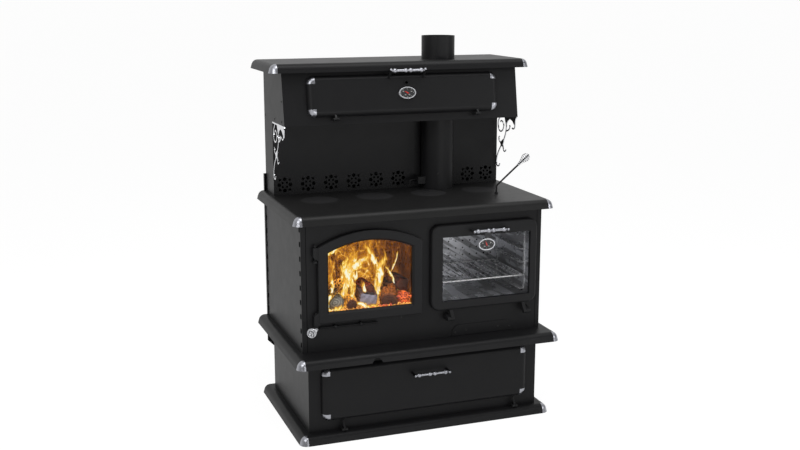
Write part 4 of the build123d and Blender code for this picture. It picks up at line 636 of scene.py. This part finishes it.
def on_hood(x, up, out):
    """A point of the leaning hood front: x across it, up it, and out of it, all in mm."""
    return Vector((x, HOOD_FOOT[0] + up * sin(HOOD_LEAN) - out * cos(HOOD_LEAN),
                   HOOD_FOOT[1] + up * cos(HOOD_LEAN) + out * sin(HOOD_LEAN))) * MM


def dial(name, middle, across, upward, texts, body):
    """Marks and numbers in the dial's own plane, then set in place on its door."""
    parts = [ring_of_marks(name, *ring) for ring in MARKS]
    parts += [number(name, text, x, y) for text, (x, y) in zip(texts, NUMBER_SPOTS)]
    shape = bmesh.new()
    for data in parts:
        shape.from_mesh(data)
    whole = as_mesh(name, shape)
    place = Matrix((across, upward, across.cross(upward))).transposed().to_4x4()
    place.translation = middle
    whole.transform(place)
    piece(name, whole, body, dial_print)


dial("oven_dial_marks", Vector((275.55, -311.2, 810)) * MM, Vector((1, 0, 0)), Vector((0, 0, 1)),
     ("200", "300", "400", "500"), "oven_door")
dial("warming_dial_marks", on_hood(5, 126, 33.1), Vector((1, 0, 0)),
     Vector((0, sin(HOOD_LEAN), cos(HOOD_LEAN))), ("100", "150", "200", "250"), "warming_door")

# %% [markdown]
# ## The fire: burning wood
# Charred wood is dark and cracked, with heat showing in the cracks, and coals are the same stuff, hotter. A
# cell pattern gives the cracks and a slow noise says where they still glow.

# %% Make the burning-wood finishes
def burning(name, cold, warm, glow, strength, size, low, high):
    """Charred wood: two ash colours, with light in the cracks of a cell pattern of this size (mm)."""
    material, tree, shader, place = start(name, **{"Roughness": 0.9, "IOR": 1.4, "Emission Strength": strength})
    char = add(tree, "ShaderNodeTexNoise", {
        "Vector": place, "Scale": per(16), "Detail": 6.0, "Roughness": 0.75})
    layers = add(tree, "ShaderNodeTexWave", {
        "Vector": place, "Scale": per(46), "Distortion": 7.0, "Detail": 4.0, "Detail Scale": 2.0},
        wave_type="BANDS", bands_direction="Z")
    both = add(tree, "ShaderNodeMath", {0: char, 1: layers.outputs["Fac"]}, operation="MULTIPLY")
    worn = add(tree, "ShaderNodeMapRange", {"Value": both, "From Min": 0.05, "From Max": 0.5})
    tint = add(tree, "ShaderNodeMixRGB", {"Fac": worn, "Color1": colour(cold), "Color2": colour(warm)})
    shift = add(tree, "ShaderNodeVectorMath", {0: char.outputs["Color"], "Scale": size * 0.6 * MM},
                operation="SCALE")
    bent = add(tree, "ShaderNodeVectorMath", {0: place, 1: shift}, operation="ADD")
    cells = add(tree, "ShaderNodeTexVoronoi", {"Vector": bent, "Scale": per(size)}, feature="DISTANCE_TO_EDGE")
    crack = add(tree, "ShaderNodeMapRange", {
        "Value": cells.outputs["Distance"], "From Min": 0.14, "From Max": 0.0})
    patch = add(tree, "ShaderNodeTexNoise", {"Vector": place, "Scale": per(60), "Detail": 3.0})
    where = add(tree, "ShaderNodeMapRange", {"Value": patch, "From Min": low, "From Max": high})
    heat = add(tree, "ShaderNodeMath", {0: crack, 1: where}, operation="MULTIPLY")
    hot = add(tree, "ShaderNodeMixRGB", {"Fac": heat, "Color1": (0, 0, 0, 1), "Color2": colour(glow)})
    bump = add(tree, "ShaderNodeBump", {
        "Strength": 0.9, "Distance": 2.5 * MM, "Height": cells.outputs["Distance"]})
    feed(tree, shader, {"Base Color": tint, "Emission Color": hot, "Normal": bump})
    return material


grey_bark = burning("ash_grey_log_bark", "#2a241e", "#a09680", "#ff9a3a", 1.2, 20, 0.60, 0.75)
hot_bark = burning("glowing_log_bark", "#1a100a", "#a06a3c", "#ffa838", 1.8, 13, 0.36, 0.54)
split_wood = burning("charred_split_log_face", "#2e262c", "#8a6a64", "#e2552a", 1.0, 46, 0.60, 0.80)
black_bark = burning("scorched_log_bark", "#140a07", "#70452a", "#ff8c30", 1.1, 12, 0.42, 0.62)
slab_wood = burning("charred_brown_slab", "#1c100e", "#5c342a", "#b8401c", 0.5, 22, 0.55, 0.75)
red_wood = burning("red_hot_wood", "#2a0e08", "#8a3a1c", "#c8481c", 1.0, 26, 0.40, 0.70)
coal = burning("glowing_wood_coal", "#5a2230", "#b04a48", "#ff7a30", 1.6, 9, 0.36, 0.56)
ember = burning("white_hot_embers", "#7a3a1c", "#d08040", "#ffc060", 1.9, 7, 0.25, 0.50)
print([m.name for m in (grey_bark, hot_bark, split_wood, black_bark, slab_wood, red_wood, coal, ember)])

# %% Make the log-end finish: growth rings, charred at the rim
def end_grain(name, dark, light, rim_char, heart=(0.0, 0.0), scale=1.4):
    """A sawn end: rings round the tree's heart, which lies off the middle of a split log."""
    material, tree, shader, place = start(name, **{"Roughness": 0.9})
    disc = add(tree, "ShaderNodeUVMap", uv_map="end")
    moved = add(tree, "ShaderNodeVectorMath", {0: disc, 1: (*heart, 0.0)}, operation="SUBTRACT")
    rings = add(tree, "ShaderNodeTexWave", {
        "Vector": moved, "Scale": scale, "Distortion": 9.0, "Detail": 5.0, "Detail Roughness": 0.7},
        wave_type="RINGS", rings_direction="Z").outputs["Fac"]
    reach = add(tree, "ShaderNodeVectorMath", {0: disc}, operation="LENGTH")
    rim = add(tree, "ShaderNodeMapRange", {"Value": reach.outputs["Value"], "From Min": 0.70, "From Max": 1.05})
    grain = add(tree, "ShaderNodeMixRGB", {"Fac": rings, "Color1": colour(dark), "Color2": colour(light)})
    charred = add(tree, "ShaderNodeMixRGB", {"Fac": rim, "Color1": grain, "Color2": colour(rim_char)})
    ridge = add(tree, "ShaderNodeBump", {"Strength": 0.6, "Distance": 1.0 * MM, "Height": rings})
    feed(tree, shader, {"Base Color": charred, "Normal": ridge})
    return material


pale_end = end_grain("grey_log_end", "#6a665e", "#a29c90", "#3c342a", (-0.2, 0.15), 0.9)
dark_end = end_grain("dark_log_end", "#1c0e08", "#6a3a22", "#7a3c18", (0.1, -0.1))
red_end = end_grain("reddened_log_end", "#4a2010", "#8a4424", "#2a1008")
split_end = end_grain("ashy_split_log_end", "#807a88", "#9690a0", "#5a4448", (-0.9, 1.0), 0.7)
print([m.name for m in (pale_end, dark_end, red_end, split_end)])

# %% [markdown]
# ## The fire: the light of flames
# Flames are light, not a surface: thin curved sheets that are clear at their edges, with bright threads where a
# noise crosses its middle value. They have no colour of their own, so their shaders only give out light. A ramp
# turns the level of that light into brown, orange, yellow and white, as heat does.

# %% Helpers for flames
def ridges(tree, place, size, width, detail):
    """Bright threads of a pattern: where a stretched noise crosses its middle value."""
    lick = add(tree, "ShaderNodeTexNoise", {
        "Vector": place, "Scale": per(size), "Detail": detail, "Roughness": 0.45, "Distortion": 1.1})
    centred = add(tree, "ShaderNodeMath", {0: lick, 1: 0.5}, operation="SUBTRACT")
    off = add(tree, "ShaderNodeMath", {0: centred}, operation="ABSOLUTE")
    line = add(tree, "ShaderNodeMapRange", {"Value": off, "From Min": width, "From Max": 0.0})
    return add(tree, "ShaderNodeMath", {0: line, 1: 2.0}, operation="POWER")


def glow(tree, shader, level, stops):
    """Light a shader by a ramp of written colours."""
    ramp = add(tree, "ShaderNodeValToRGB", {"Fac": level})
    while len(ramp.color_ramp.elements) < len(stops):
        ramp.color_ramp.elements.new(0.5)
    for stop, (position, written) in zip(ramp.color_ramp.elements, stops):
        stop.position = position
        stop.color = colour(written)
    feed(tree, shader, {"Emission Color": ramp})


def light_only(name):
    """A material that gives out light and mirrors nothing."""
    return start(name, **{"Base Color": (0, 0, 0, 1), "Roughness": 1.0, "Specular IOR Level": 0.0,
                          "Emission Strength": 1.0})


# %% The wall of fire: flames, and painted light of the fire on the back of the firebox, as brown haze with bright bands and fine threads
WALL_STOPS = ((0.0, "#1c0c06"), (0.12, "#5e300e"), (0.28, "#a86618"), (0.44, "#dd9626"), (0.62, "#ffcc50"),
              (0.85, "#fff2bc"))
fire_light, tree, shader, place = light_only("flames_and_painted_firelight_on_the_back_wall")
tall = add(tree, "ShaderNodeMapping", {"Vector": place, "Rotation": (0, 0.25, 0), "Scale": (1.0, 1.0, 0.5)})
bands = ridges(tree, tall, 80, 0.07, 3.0)
fine = ridges(tree, tall, 42, 0.030, 3.0)
cloud = add(tree, "ShaderNodeTexNoise", {"Vector": tall, "Scale": per(95), "Detail": 3.0, "Distortion": 0.8})
grain = add(tree, "ShaderNodeTexNoise", {"Vector": place, "Scale": per(16), "Detail": 5.0, "Roughness": 0.7})
apart = add(tree, "ShaderNodeSeparateXYZ", {"Vector": place})
# the painted firelight is brighter towards the left
left = add(tree, "ShaderNodeMapRange", {"Value": apart, "From Min": -0.09, "From Max": -0.22})
haze = add(tree, "ShaderNodeMapRange", {"Value": cloud, "From Min": 0.42, "From Max": 0.60})
reach = add(tree, "ShaderNodeMath", {0: left, 1: 0.65, 2: 0.35}, operation="MULTIPLY_ADD")
bright = add(tree, "ShaderNodeMath", {0: haze, 1: 0.17, 2: 0.09}, operation="MULTIPLY_ADD")
mottle = add(tree, "ShaderNodeMapRange", {
    "Value": grain, "From Min": 0.35, "From Max": 0.65, "To Min": -0.10, "To Max": 0.16})
body = add(tree, "ShaderNodeMath", {0: bright, 1: mottle}, operation="ADD")
threads = add(tree, "ShaderNodeMath", {0: fine, 1: 0.45}, operation="MULTIPLY")
lines = add(tree, "ShaderNodeMath", {0: bands, 1: 0.26, 2: threads}, operation="MULTIPLY_ADD")
where = add(tree, "ShaderNodeMath", {0: haze, 1: 0.7, 2: 0.3}, operation="MULTIPLY_ADD")
lines = add(tree, "ShaderNodeMath", {0: lines, 1: where}, operation="MULTIPLY")
lit = add(tree, "ShaderNodeMath", {0: lines, 1: body}, operation="ADD")
lit = add(tree, "ShaderNodeMath", {0: lit, 1: reach}, operation="MULTIPLY")
glow(tree, shader, lit, WALL_STOPS)
print(fire_light.name)

# %% The tongues: clear at their edges, white in their hearts
TONGUE_STOPS = ((0.0, "#b86a10"), (0.22, "#e89a1e"), (0.42, "#ffc43c"), (0.62, "#ffe884"), (0.82, "#fffbe4"))
flame, tree, shader, place = light_only("wood_flame_tongues")
tall = add(tree, "ShaderNodeMapping", {"Vector": place, "Scale": (1.0, 1.0, 0.4)})
sheet = add(tree, "ShaderNodeUVMap", uv_map="tongue")
apart = add(tree, "ShaderNodeSeparateXYZ", {"Vector": sheet}).outputs
sway = add(tree, "ShaderNodeTexNoise", {
    "Vector": tall, "Scale": per(30), "Detail": 4.0, "Roughness": 0.6, "Distortion": 0.8})
swayed = add(tree, "ShaderNodeMath", {0: sway, 1: 1.5, 2: -0.75}, operation="MULTIPLY_ADD")
swayed = add(tree, "ShaderNodeMath", {0: apart["X"], 1: swayed}, operation="ADD")
reach = []
for across in (apart["X"], swayed):
    off = add(tree, "ShaderNodeMath", {0: across, 1: 0.5}, operation="SUBTRACT")
    reach.append(add(tree, "ShaderNodeMath", {0: off}, operation="ABSOLUTE"))
edge = add(tree, "ShaderNodeMapRange", {"Value": reach[0], "From Min": 0.5, "From Max": 0.34})
middle = add(tree, "ShaderNodeMapRange", {"Value": reach[1], "From Min": 0.46, "From Max": 0.04})
rise = add(tree, "ShaderNodeMapRange", {"Value": apart["Y"], "From Min": 1.0, "From Max": 0.35})
foot = add(tree, "ShaderNodeMapRange", {"Value": apart["Y"], "From Min": 0.0, "From Max": 0.16})
lick = add(tree, "ShaderNodeTexNoise", {
    "Vector": tall, "Scale": per(24), "Detail": 4.0, "Roughness": 0.5, "Distortion": 1.4})
ragged = add(tree, "ShaderNodeMapRange", {"Value": lick, "From Min": 0.36, "From Max": 0.64})
core = add(tree, "ShaderNodeMath", {0: middle, 1: rise}, operation="MULTIPLY")
core = add(tree, "ShaderNodeMath", {0: core, 1: foot}, operation="MULTIPLY")
level = add(tree, "ShaderNodeMath", {0: ragged, 1: 0.95, 2: 0.30}, operation="MULTIPLY_ADD")
level = add(tree, "ShaderNodeMath", {0: level, 1: core}, operation="MULTIPLY")
wisp = add(tree, "ShaderNodeMath", {0: ridges(tree, tall, 36, 0.045, 3.0), 1: rise}, operation="MULTIPLY")
level = add(tree, "ShaderNodeMath", {0: wisp, 1: 0.45, 2: level}, operation="MULTIPLY_ADD")
level = add(tree, "ShaderNodeMath", {0: level, 1: edge}, operation="MULTIPLY")
clear = add(tree, "ShaderNodeMapRange", {"Value": level, "From Min": 0.10, "From Max": 0.50})
feed(tree, shader, {"Alpha": clear})
glow(tree, shader, level, TONGUE_STOPS)
print(flame.name)

# %% [markdown]
# ## The fire: logs
# A log is a tube with ridged bark and flat ends, and a split log is the same tube cut back by planes. Both are
# made ring by ring from a rule for the radius, which is simple mesh code and keeps the surface closed.

# %% Build a log
BULGE, RIDGE, WORN_END = 0.10, 0.16, 0.94        # shares of a log's radius
SPLINTER = 2.2        # mm, how far a split face wanders


def log(name, start_at, end_at, radius, side_finish, end_finish, cuts=(), seed=0.0, around=48, along=30):
    """A closed log between two points (mm); cuts are (angle, distance) planes that split it."""
    a, b = Vector(start_at) * MM, Vector(end_at) * MM
    axis = (b - a).normalized()
    across = axis.cross(Vector((0, 0, 1))).normalized()
    upward = across.cross(axis)
    shape = bmesh.new()
    rings = []
    for i in range(along):
        t = i / (along - 1)
        ring = []
        for j in range(around):
            angle = 2 * pi * j / around
            here = Vector((cos(angle), sin(angle), 0))
            reach = radius * (1 + BULGE * noise.noise(here * 1.3 + Vector((0, 0, t * 2 + seed))))
            reach += RIDGE * radius * abs(noise.noise(here * 6 + Vector((0, 0, t * 4 + seed))))
            for toward, distance in cuts:
                facing = cos(angle - radians(toward))
                if facing > 0.05:
                    wander = SPLINTER * noise.noise(Vector((angle * 4, t * 7, seed)))
                    reach = min(reach, distance / facing + wander)
            reach *= MM * (WORN_END if i in (0, along - 1) else 1)
            out = across * cos(angle) + upward * sin(angle)
            ring.append(shape.verts.new(a + axis * (b - a).length * t + out * reach))
        rings.append(ring)
    skin(shape, rings, closed=True)
    uv = shape.loops.layers.uv.new("end")
    for ring, centre, sign in ((rings[0], a, 1), (rings[-1], b, -1)):
        hub = shape.verts.new(centre + axis * (sign * MM))
        for j in range(around):
            face = shape.faces.new((ring[(j + 1) % around], ring[j], hub))
            face.material_index = 1
            for corner in face.loops:
                offset = corner.vert.co - centre
                corner[uv].uv = (offset.dot(across) / (radius * MM), offset.dot(upward) / (radius * MM))
    bmesh.ops.recalc_face_normals(shape, faces=shape.faces)
    piece(name, as_mesh(name, shape), "stove", side_finish, end_finish, smooth=True)


# %% Lay the logs on the hearth
log("log_left", (-398, -250, 590), (-372, 40, 592), 34, grey_bark, pale_end, seed=1.0)
log("log_ringed", (-329, -252, 580), (-322, 20, 583), 24, hot_bark, dark_end, seed=2.0)
log("log_split", (-256, -250, 594), (-236, -90, 606), 50, split_wood, split_end,
    cuts=((78, 27), (172, 38), (-8, 40), (-98, 28)), seed=3.0)
log("log_under_top", (-240, -214, 633), (-250, -90, 642), 23, red_wood, red_end, seed=4.0)
log("log_right", (-163, -252, 578), (-118, -100, 628), 40, black_bark, dark_end, seed=5.0)
log("log_slab", (-82, -212, 640), (-86, -70, 664), 32, slab_wood, dark_end,
    cuts=((75, 25), (-90, 28)), seed=6.0)
log("log_back_left", (-440, -90, 630), (-300, 10, 640), 34, hot_bark, dark_end, seed=7.0)

# %% [markdown]
# ## The fire: coals and embers
# Coals lie scattered over the hearth. Geometry Nodes throws points on a lumpy bed with a fixed seed and sets a
# rough lump on each, turned and scaled at random.

# %% Build the coal tree
FULL_TURN = 6.28        # radians, as far as a lump may be turned about each axis
COAL_LEAST, COAL_MOST = 0.5, 1.2        # shares of the coal size


def coal_tree():
    """Rough lumps thrown on a surface, no two nearer than the least gap."""
    tree, given = open_tree("scattered coals", Coal_size="Float", Least_gap="Float", Coals_per_area="Float",
                            Seed="Int")
    thrown = add(tree, "GeometryNodeDistributePointsOnFaces", {
        "Mesh": given["Geometry"], "Distance Min": given["Least gap"], "Density Max": given["Coals per area"],
        "Seed": given["Seed"]}, distribute_method="POISSON")
    ball = add(tree, "GeometryNodeMeshIcoSphere", {"Radius": 1.0, "Subdivisions": 2})
    spot = add(tree, "GeometryNodeInputPosition")
    rough = add(tree, "ShaderNodeTexNoise", {"Vector": spot, "Scale": 1.7, "Detail": 2.0})
    push = add(tree, "ShaderNodeMapRange", {"Value": rough, "To Min": 0.45, "To Max": 1.45})
    moved = add(tree, "ShaderNodeVectorMath", {0: spot, "Scale": push}, operation="SCALE")
    lump = add(tree, "GeometryNodeSetPosition", {"Geometry": ball, "Position": moved})
    turn = add(tree, "FunctionNodeRandomValue", {"Max": (FULL_TURN,) * 3, "Seed": given["Seed"]},
               data_type="FLOAT_VECTOR")
    vary = add(tree, "FunctionNodeRandomValue", {2: COAL_LEAST, 3: COAL_MOST, "Seed": given["Seed"]},
               data_type="FLOAT")
    size = add(tree, "ShaderNodeMath", {0: vary.outputs[1], 1: given["Coal size"]}, operation="MULTIPLY")
    return repeat(tree, given, thrown, lump, Rotation=turn, Scale=size)


coals = coal_tree()
print(coals.name)

# %% Lay the ash and scatter the coals
def bed(name, x0, x1, y0, y1, z, lift, cells=16):
    """A lumpy sheet between four sides (mm), rising by up to lift."""
    shape = bmesh.new()
    rows = []
    for j in range(cells + 1):
        row = []
        for i in range(cells + 1):
            x, y = x0 + (x1 - x0) * i / cells, y0 + (y1 - y0) * j / cells
            rise = lift * max(0.0, 0.5 + noise.noise(Vector((x / 40, y / 40, 0.0))))
            row.append(shape.verts.new(Vector((x, y, z + rise)) * MM))
        rows.append(row)
    skin(shape, rows)
    return as_mesh(name, shape)


BEDS = (      # piece, its bed's sides, height and lift (mm), finish, coal size and gap (mm), coals per m2, seed
    ("hearth_embers", (-452, -66, -262, -110, 560, 3), ember, 6, 8, 9000.0, 4),
    ("heaped_coals", (-122, -62, -262, -110, 562, 48), coal, 12, 12, 9000.0, 9),
    ("front_coals", (-290, -150, -266, -236, 561, 6), coal, 6, 9, 7000.0, 3),
)
piece("ash_bed", bed("ash_bed", -466, -51, -272, 150, 556.4, 9), "stove", ember, smooth=True)
for name, sides, finish, size, gap, thick, seed in BEDS:
    grow(name, bed("bed of " + name, *sides), coals, {
        "Coal size": size * MM, "Least gap": gap * MM, "Coals per area": thick, "Seed": seed, "Finish": finish})

# %% [markdown]
# ## The fire: flames
# A flame is a thin sheet of burning gas that follows the draught: up, round the logs and together again at the
# top. Each is laid along a few points with a width at each, and a narrower sheet stands before the brightest
# parts. A wide glowing sheet behind them all gives flames and, as painted light, the fire's glow on the back of
# the firebox.

# %% Shape one flame
FLAME_CURL, FLAME_WAVE = 12, 7        # mm, how far a flame's edges lie behind its middle, and how far it waves
FLAME_RAGGED = 0.35        # how far its edges wander at the tip, as a share of its width


def between(before, here, after, later, t):
    """A smooth curve through here and after, at a share t of the way."""
    return 0.5 * (2 * here + (after - before) * t + (2 * before - 5 * here + 4 * after - later) * t ** 2
                  + (3 * here - before - 3 * after + later) * t ** 3)


def tongue(shape, uv, depth, path, seed, across=8, steps=7):
    """One flame: a sheet at a depth that follows points of x, z and width, all in mm."""
    points = [Vector(point) for point in (path[0], *path, path[-1])]
    spots = [between(*points[k:k + 4], step / steps) for k in range(len(path) - 1) for step in range(steps)]
    spots.append(points[-1])
    up = len(spots) - 1
    rows = []
    for j, spot in enumerate(spots):
        ahead = (spots[min(j + 1, up)] - spots[max(j - 1, 0)]).to_2d().normalized()
        t = j / up
        row = []
        for i in range(across + 1):
            off = 2 * i / across - 1
            reach = spot.z * (0.5 * off + FLAME_RAGGED * t * noise.noise(Vector((off, t * 3.5, seed))))
            y = depth + FLAME_CURL * off * off + FLAME_WAVE * sin(4 * t + seed)
            row.append(shape.verts.new(Vector((spot.x + ahead.y * reach, y, spot.y - ahead.x * reach)) * MM))
        rows.append(row)
    for face, i, j in skin(shape, rows):
        for corner, (ci, cj) in zip(face.loops, ((i, j), (i + 1, j), (i + 1, j + 1), (i, j + 1))):
            corner[uv].uv = (ci / across, cj / up)


# %% Build the flames
FLAMES = (      # depth, then x, z and width along each flame, in mm
    (-200, ((-372, 584, 40), (-340, 655, 66), (-345, 722, 82), (-318, 785, 52), (-300, 842, 14))),
    (-214, ((-358, 616, 24), (-344, 680, 76), (-345, 735, 80), (-331, 778, 44), (-318, 815, 10))),
    (-194, ((-352, 650, 30), (-326, 727, 52), (-278, 745, 50), (-242, 788, 38), (-252, 842, 14))),
    (-208, ((-334, 700, 24), (-306, 734, 50), (-274, 752, 44), (-252, 790, 12))),
    (-190, ((-318, 585, 20), (-310, 640, 28), (-322, 700, 30), (-300, 770, 12))),
    (-196, ((-200, 558, 30), (-192, 640, 50), (-188, 714, 60), (-166, 768, 38), (-190, 836, 12))),
    (-210, ((-198, 610, 16), (-190, 690, 50), (-186, 742, 46), (-174, 786, 10))),
    (-188, ((-190, 700, 26), (-216, 765, 40), (-240, 800, 42), (-266, 846, 14))),
    (-182, ((-92, 598, 12), (-138, 695, 20), (-167, 756, 10))),
    (-176, ((-132, 690, 8), (-108, 752, 11), (-96, 830, 5))),
    (-257, ((-436, 562, 12), (-434, 604, 26), (-414, 630, 28), (-376, 654, 8))),
    (-262, ((-462, 572, 24), (-420, 566, 34), (-376, 574, 30), (-352, 612, 10))),
    (-254, ((-268, 628, 26), (-280, 660, 26), (-286, 696, 6))),
    (-266, ((-316, 596, 16), (-268, 573, 30), (-222, 566, 30), (-198, 594, 12))),
    (-170, ((-440, 778, 20), (-380, 812, 34), (-318, 838, 16))),
    (-60, ((-262, 640, 34), (-272, 720, 40), (-254, 800, 20))),
    (-180, ((-432, 600, 16), (-441, 680, 22), (-428, 746, 10))),
    (-174, ((-404, 606, 14), (-395, 664, 24), (-406, 726, 12))),
)
picker = random.Random(7)        # a fixed seed, so that the fire is the same each run
shape = bmesh.new()
uv = shape.loops.layers.uv.new("tongue")
for depth, path in FLAMES:
    tongue(shape, uv, depth, path, picker.uniform(0, 6))
piece("flames", as_mesh("flames", shape), "stove", flame, smooth=True)

# %% Hang the wall of fire behind them
WALL_CORNER, WALL_SIZE, WALL_CELLS = (-464, 560), (411, 262), (24, 12)        # x and z: mm, mm and faces
WALL_DEPTH, WALL_CURVE, WALL_LUMPS = -40, 190, 14        # mm: middle's y, sides' turn, lumps
shape = bmesh.new()
rows = []
for j in range(WALL_CELLS[1] + 1):
    row = []
    for i in range(WALL_CELLS[0] + 1):
        x = WALL_CORNER[0] + WALL_SIZE[0] * i / WALL_CELLS[0]
        z = WALL_CORNER[1] + WALL_SIZE[1] * j / WALL_CELLS[1]
        aside = abs(2 * i / WALL_CELLS[0] - 1)
        y = WALL_DEPTH - WALL_CURVE * aside ** 3 + WALL_LUMPS * noise.noise(Vector((x / 60, z / 60, 3.0)))
        row.append(shape.verts.new(Vector((x, y, z)) * MM))
    rows.append(row)
skin(shape, rows)
piece("fire_wall", as_mesh("fire_wall", shape), "stove", fire_light, smooth=True)

# %% [markdown]
# ## The oven's back wall
# The oven is a box of bright sheet, and its back wall has small vent holes in rows. Each hole is drawn as a thin
# black disc on the sheet, painted shade for the dark inside the hole. One disc is repeated on a grid, so Geometry
# Nodes sets them.

# %% Lay black discs on the back wall, painted shade for its vent holes
HOLE_MIDDLE = (283, 212.6, 700)        # mm, the middle of the grid on the wall
HOLE_THICK = 0.3        # mm


def hole_tree():
    """Thin discs on a grid."""
    tree, given = open_tree("vent holes", Width="Float", Height="Float", Hole_radius="Float", Across="Int",
                            Up="Int")
    grid = add(tree, "GeometryNodeMeshGrid", {
        "Size X": given["Width"], "Size Y": given["Height"], "Vertices X": given["Across"],
        "Vertices Y": given["Up"]})
    disc = add(tree, "GeometryNodeMeshCylinder", {
        "Vertices": 12, "Radius": given["Hole radius"], "Depth": HOLE_THICK * MM})
    return repeat(tree, given, grid, disc)


grow("oven_vent_holes", bpy.data.meshes.new("oven_vent_holes"), hole_tree(),
     {"Width": 396 * MM, "Height": 272 * MM, "Hole radius": 4.2 * MM, "Across": 12, "Up": 9, "Finish": joint_black_and_painted_shade},
     place=Matrix.Translation(Vector(HOLE_MIDDLE) * MM) @ Matrix.Rotation(pi / 2, 4, "X"))

# %% [markdown]
# ## The studio
# The photograph was cut out on white: a pale floor, a white surround and large soft lamps. The lamps stay at a
# plain level, where a painted colour comes out about as it is written. Only rays that the camera, a mirror or
# glass sends out see the surround as white, so it lights the stove no more than a pale room would.

# %% Lay the floor
FLOOR_RADIUS, FLOOR_DROP = 600, 0.0005        # m: its edge lies above the picture, and it clears the plinth
FLOOR_LIGHT = 1.08        # the white light that stands in for a lit floor, where 1 is white
SEEN_SHARE, MIRROR_SHARE = 0.85, 0.86        # how much of that light is seen, and how much of it mirrors take
shape = bmesh.new()
bmesh.ops.create_circle(shape, cap_ends=True, segments=96, radius=FLOOR_RADIUS)
floor = put("floor", as_mesh("floor", shape))
floor.location.z = -FLOOR_DROP
floor_white, tree, shader, place = start("pale_studio_floor", **{"Roughness": 0.9, "Specular IOR Level": 0.1})
speck = add(tree, "ShaderNodeTexNoise", {"Vector": place, "Scale": per(300), "Detail": 2.0})
pale = add(tree, "ShaderNodeMixRGB", {"Fac": speck, "Color1": colour("#f6f6f6"), "Color2": colour("#fafafa")})
feed(tree, shader, {"Base Color": pale})
lit = add(tree, "ShaderNodeEmission", {"Color": (1, 1, 1, 1), "Strength": FLOOR_LIGHT})
ray = add(tree, "ShaderNodeLightPath").outputs
# what the camera, a mirror or glass sees of the floor is mostly white light, and the rest keeps the shadow
mirrored = add(tree, "ShaderNodeMath", {0: ray["Is Glossy Ray"], 1: MIRROR_SHARE}, operation="MULTIPLY")
seen = add(tree, "ShaderNodeMath", {0: ray["Is Camera Ray"], 1: mirrored}, operation="MAXIMUM")
seen = add(tree, "ShaderNodeMath", {0: seen, 1: ray["Is Transmission Ray"]}, operation="MAXIMUM")
share = add(tree, "ShaderNodeMath", {0: seen, 1: SEEN_SHARE}, operation="MULTIPLY")
mix_in(tree, share, shader, lit)
floor.data.materials.append(floor_white)
print("floor", FLOOR_RADIUS, "m in radius")

# %% Set the surround
ROOM = 0.42        # the even light that falls on the stove from all round, where 1 is white
DIM_END, WHITE_END = 0.16, 0.9        # what a mirror sees behind the camera, and behind and above the stove
world = bpy.data.worlds.new("white surround")
scene.world = world
world.use_nodes = True
tree = world.node_tree
tree.nodes.clear()
ray = add(tree, "ShaderNodeLightPath").outputs
way = add(tree, "ShaderNodeTexCoord")
apart = add(tree, "ShaderNodeSeparateXYZ", {"Vector": way.outputs["Generated"]}).outputs
# a mirror sees a white wall behind the stove, a pale ceiling, and a dim room behind the camera
behind = add(tree, "ShaderNodeMapRange", {
    "Value": apart["Y"], "From Min": -0.25, "From Max": 0.45, "To Min": DIM_END, "To Max": WHITE_END})
above = add(tree, "ShaderNodeMapRange", {
    "Value": apart["Z"], "From Min": 0.5, "From Max": 0.9, "To Max": WHITE_END})
around = add(tree, "ShaderNodeMath", {0: behind, 1: above}, operation="MAXIMUM")
# every other ray sees the even light, apart from those that the camera or glass sends out, which see white
plain = add(tree, "ShaderNodeMapRange", {"Value": ray["Is Glossy Ray"], "To Min": ROOM, "To Max": around})
seen = add(tree, "ShaderNodeMath", {0: ray["Is Camera Ray"], 1: ray["Is Transmission Ray"]},
           operation="MAXIMUM")
bright = add(tree, "ShaderNodeMath", {0: seen, 1: plain}, operation="MAXIMUM")
surround = add(tree, "ShaderNodeBackground", {"Color": (1, 1, 1, 1), "Strength": bright})
add(tree, "ShaderNodeOutputWorld", {"Surface": surround})
print(world.name)

# %% Hang the lamps
LAMPS = (      # name, place, aim, width, height, watts
    ("key from the left", (-3.4, -2.6, 3.3), (0, 0, 0.9), 2.6, 2.2, 76),
    ("fill from the right", (3.6, -3.4, 2.2), (0, 0, 0.8), 2.0, 2.0, 40),
    ("top", (0.2, -1.0, 4.2), (0, -0.2, 0.8), 3.4, 1.8, 74),
    ("low in front", (0.5, -3.8, 1.0), (0, 0, 0.3), 3.0, 0.8, 24),
)
for name, spot, aim, width, height, watts in LAMPS:
    light = bpy.data.lights.new(name, "AREA")
    light.shape = "RECTANGLE"
    light.size = width
    light.size_y = height
    light.energy = watts
    lamp = put(name, light)
    lamp.location = spot
    lamp.rotation_euler = (Vector(aim) - Vector(spot)).to_track_quat("-Z", "Y").to_euler()
    lamp.visible_camera = False
scene.view_settings.view_transform = "Standard"
print("lamps", [lamp[0] for lamp in LAMPS])
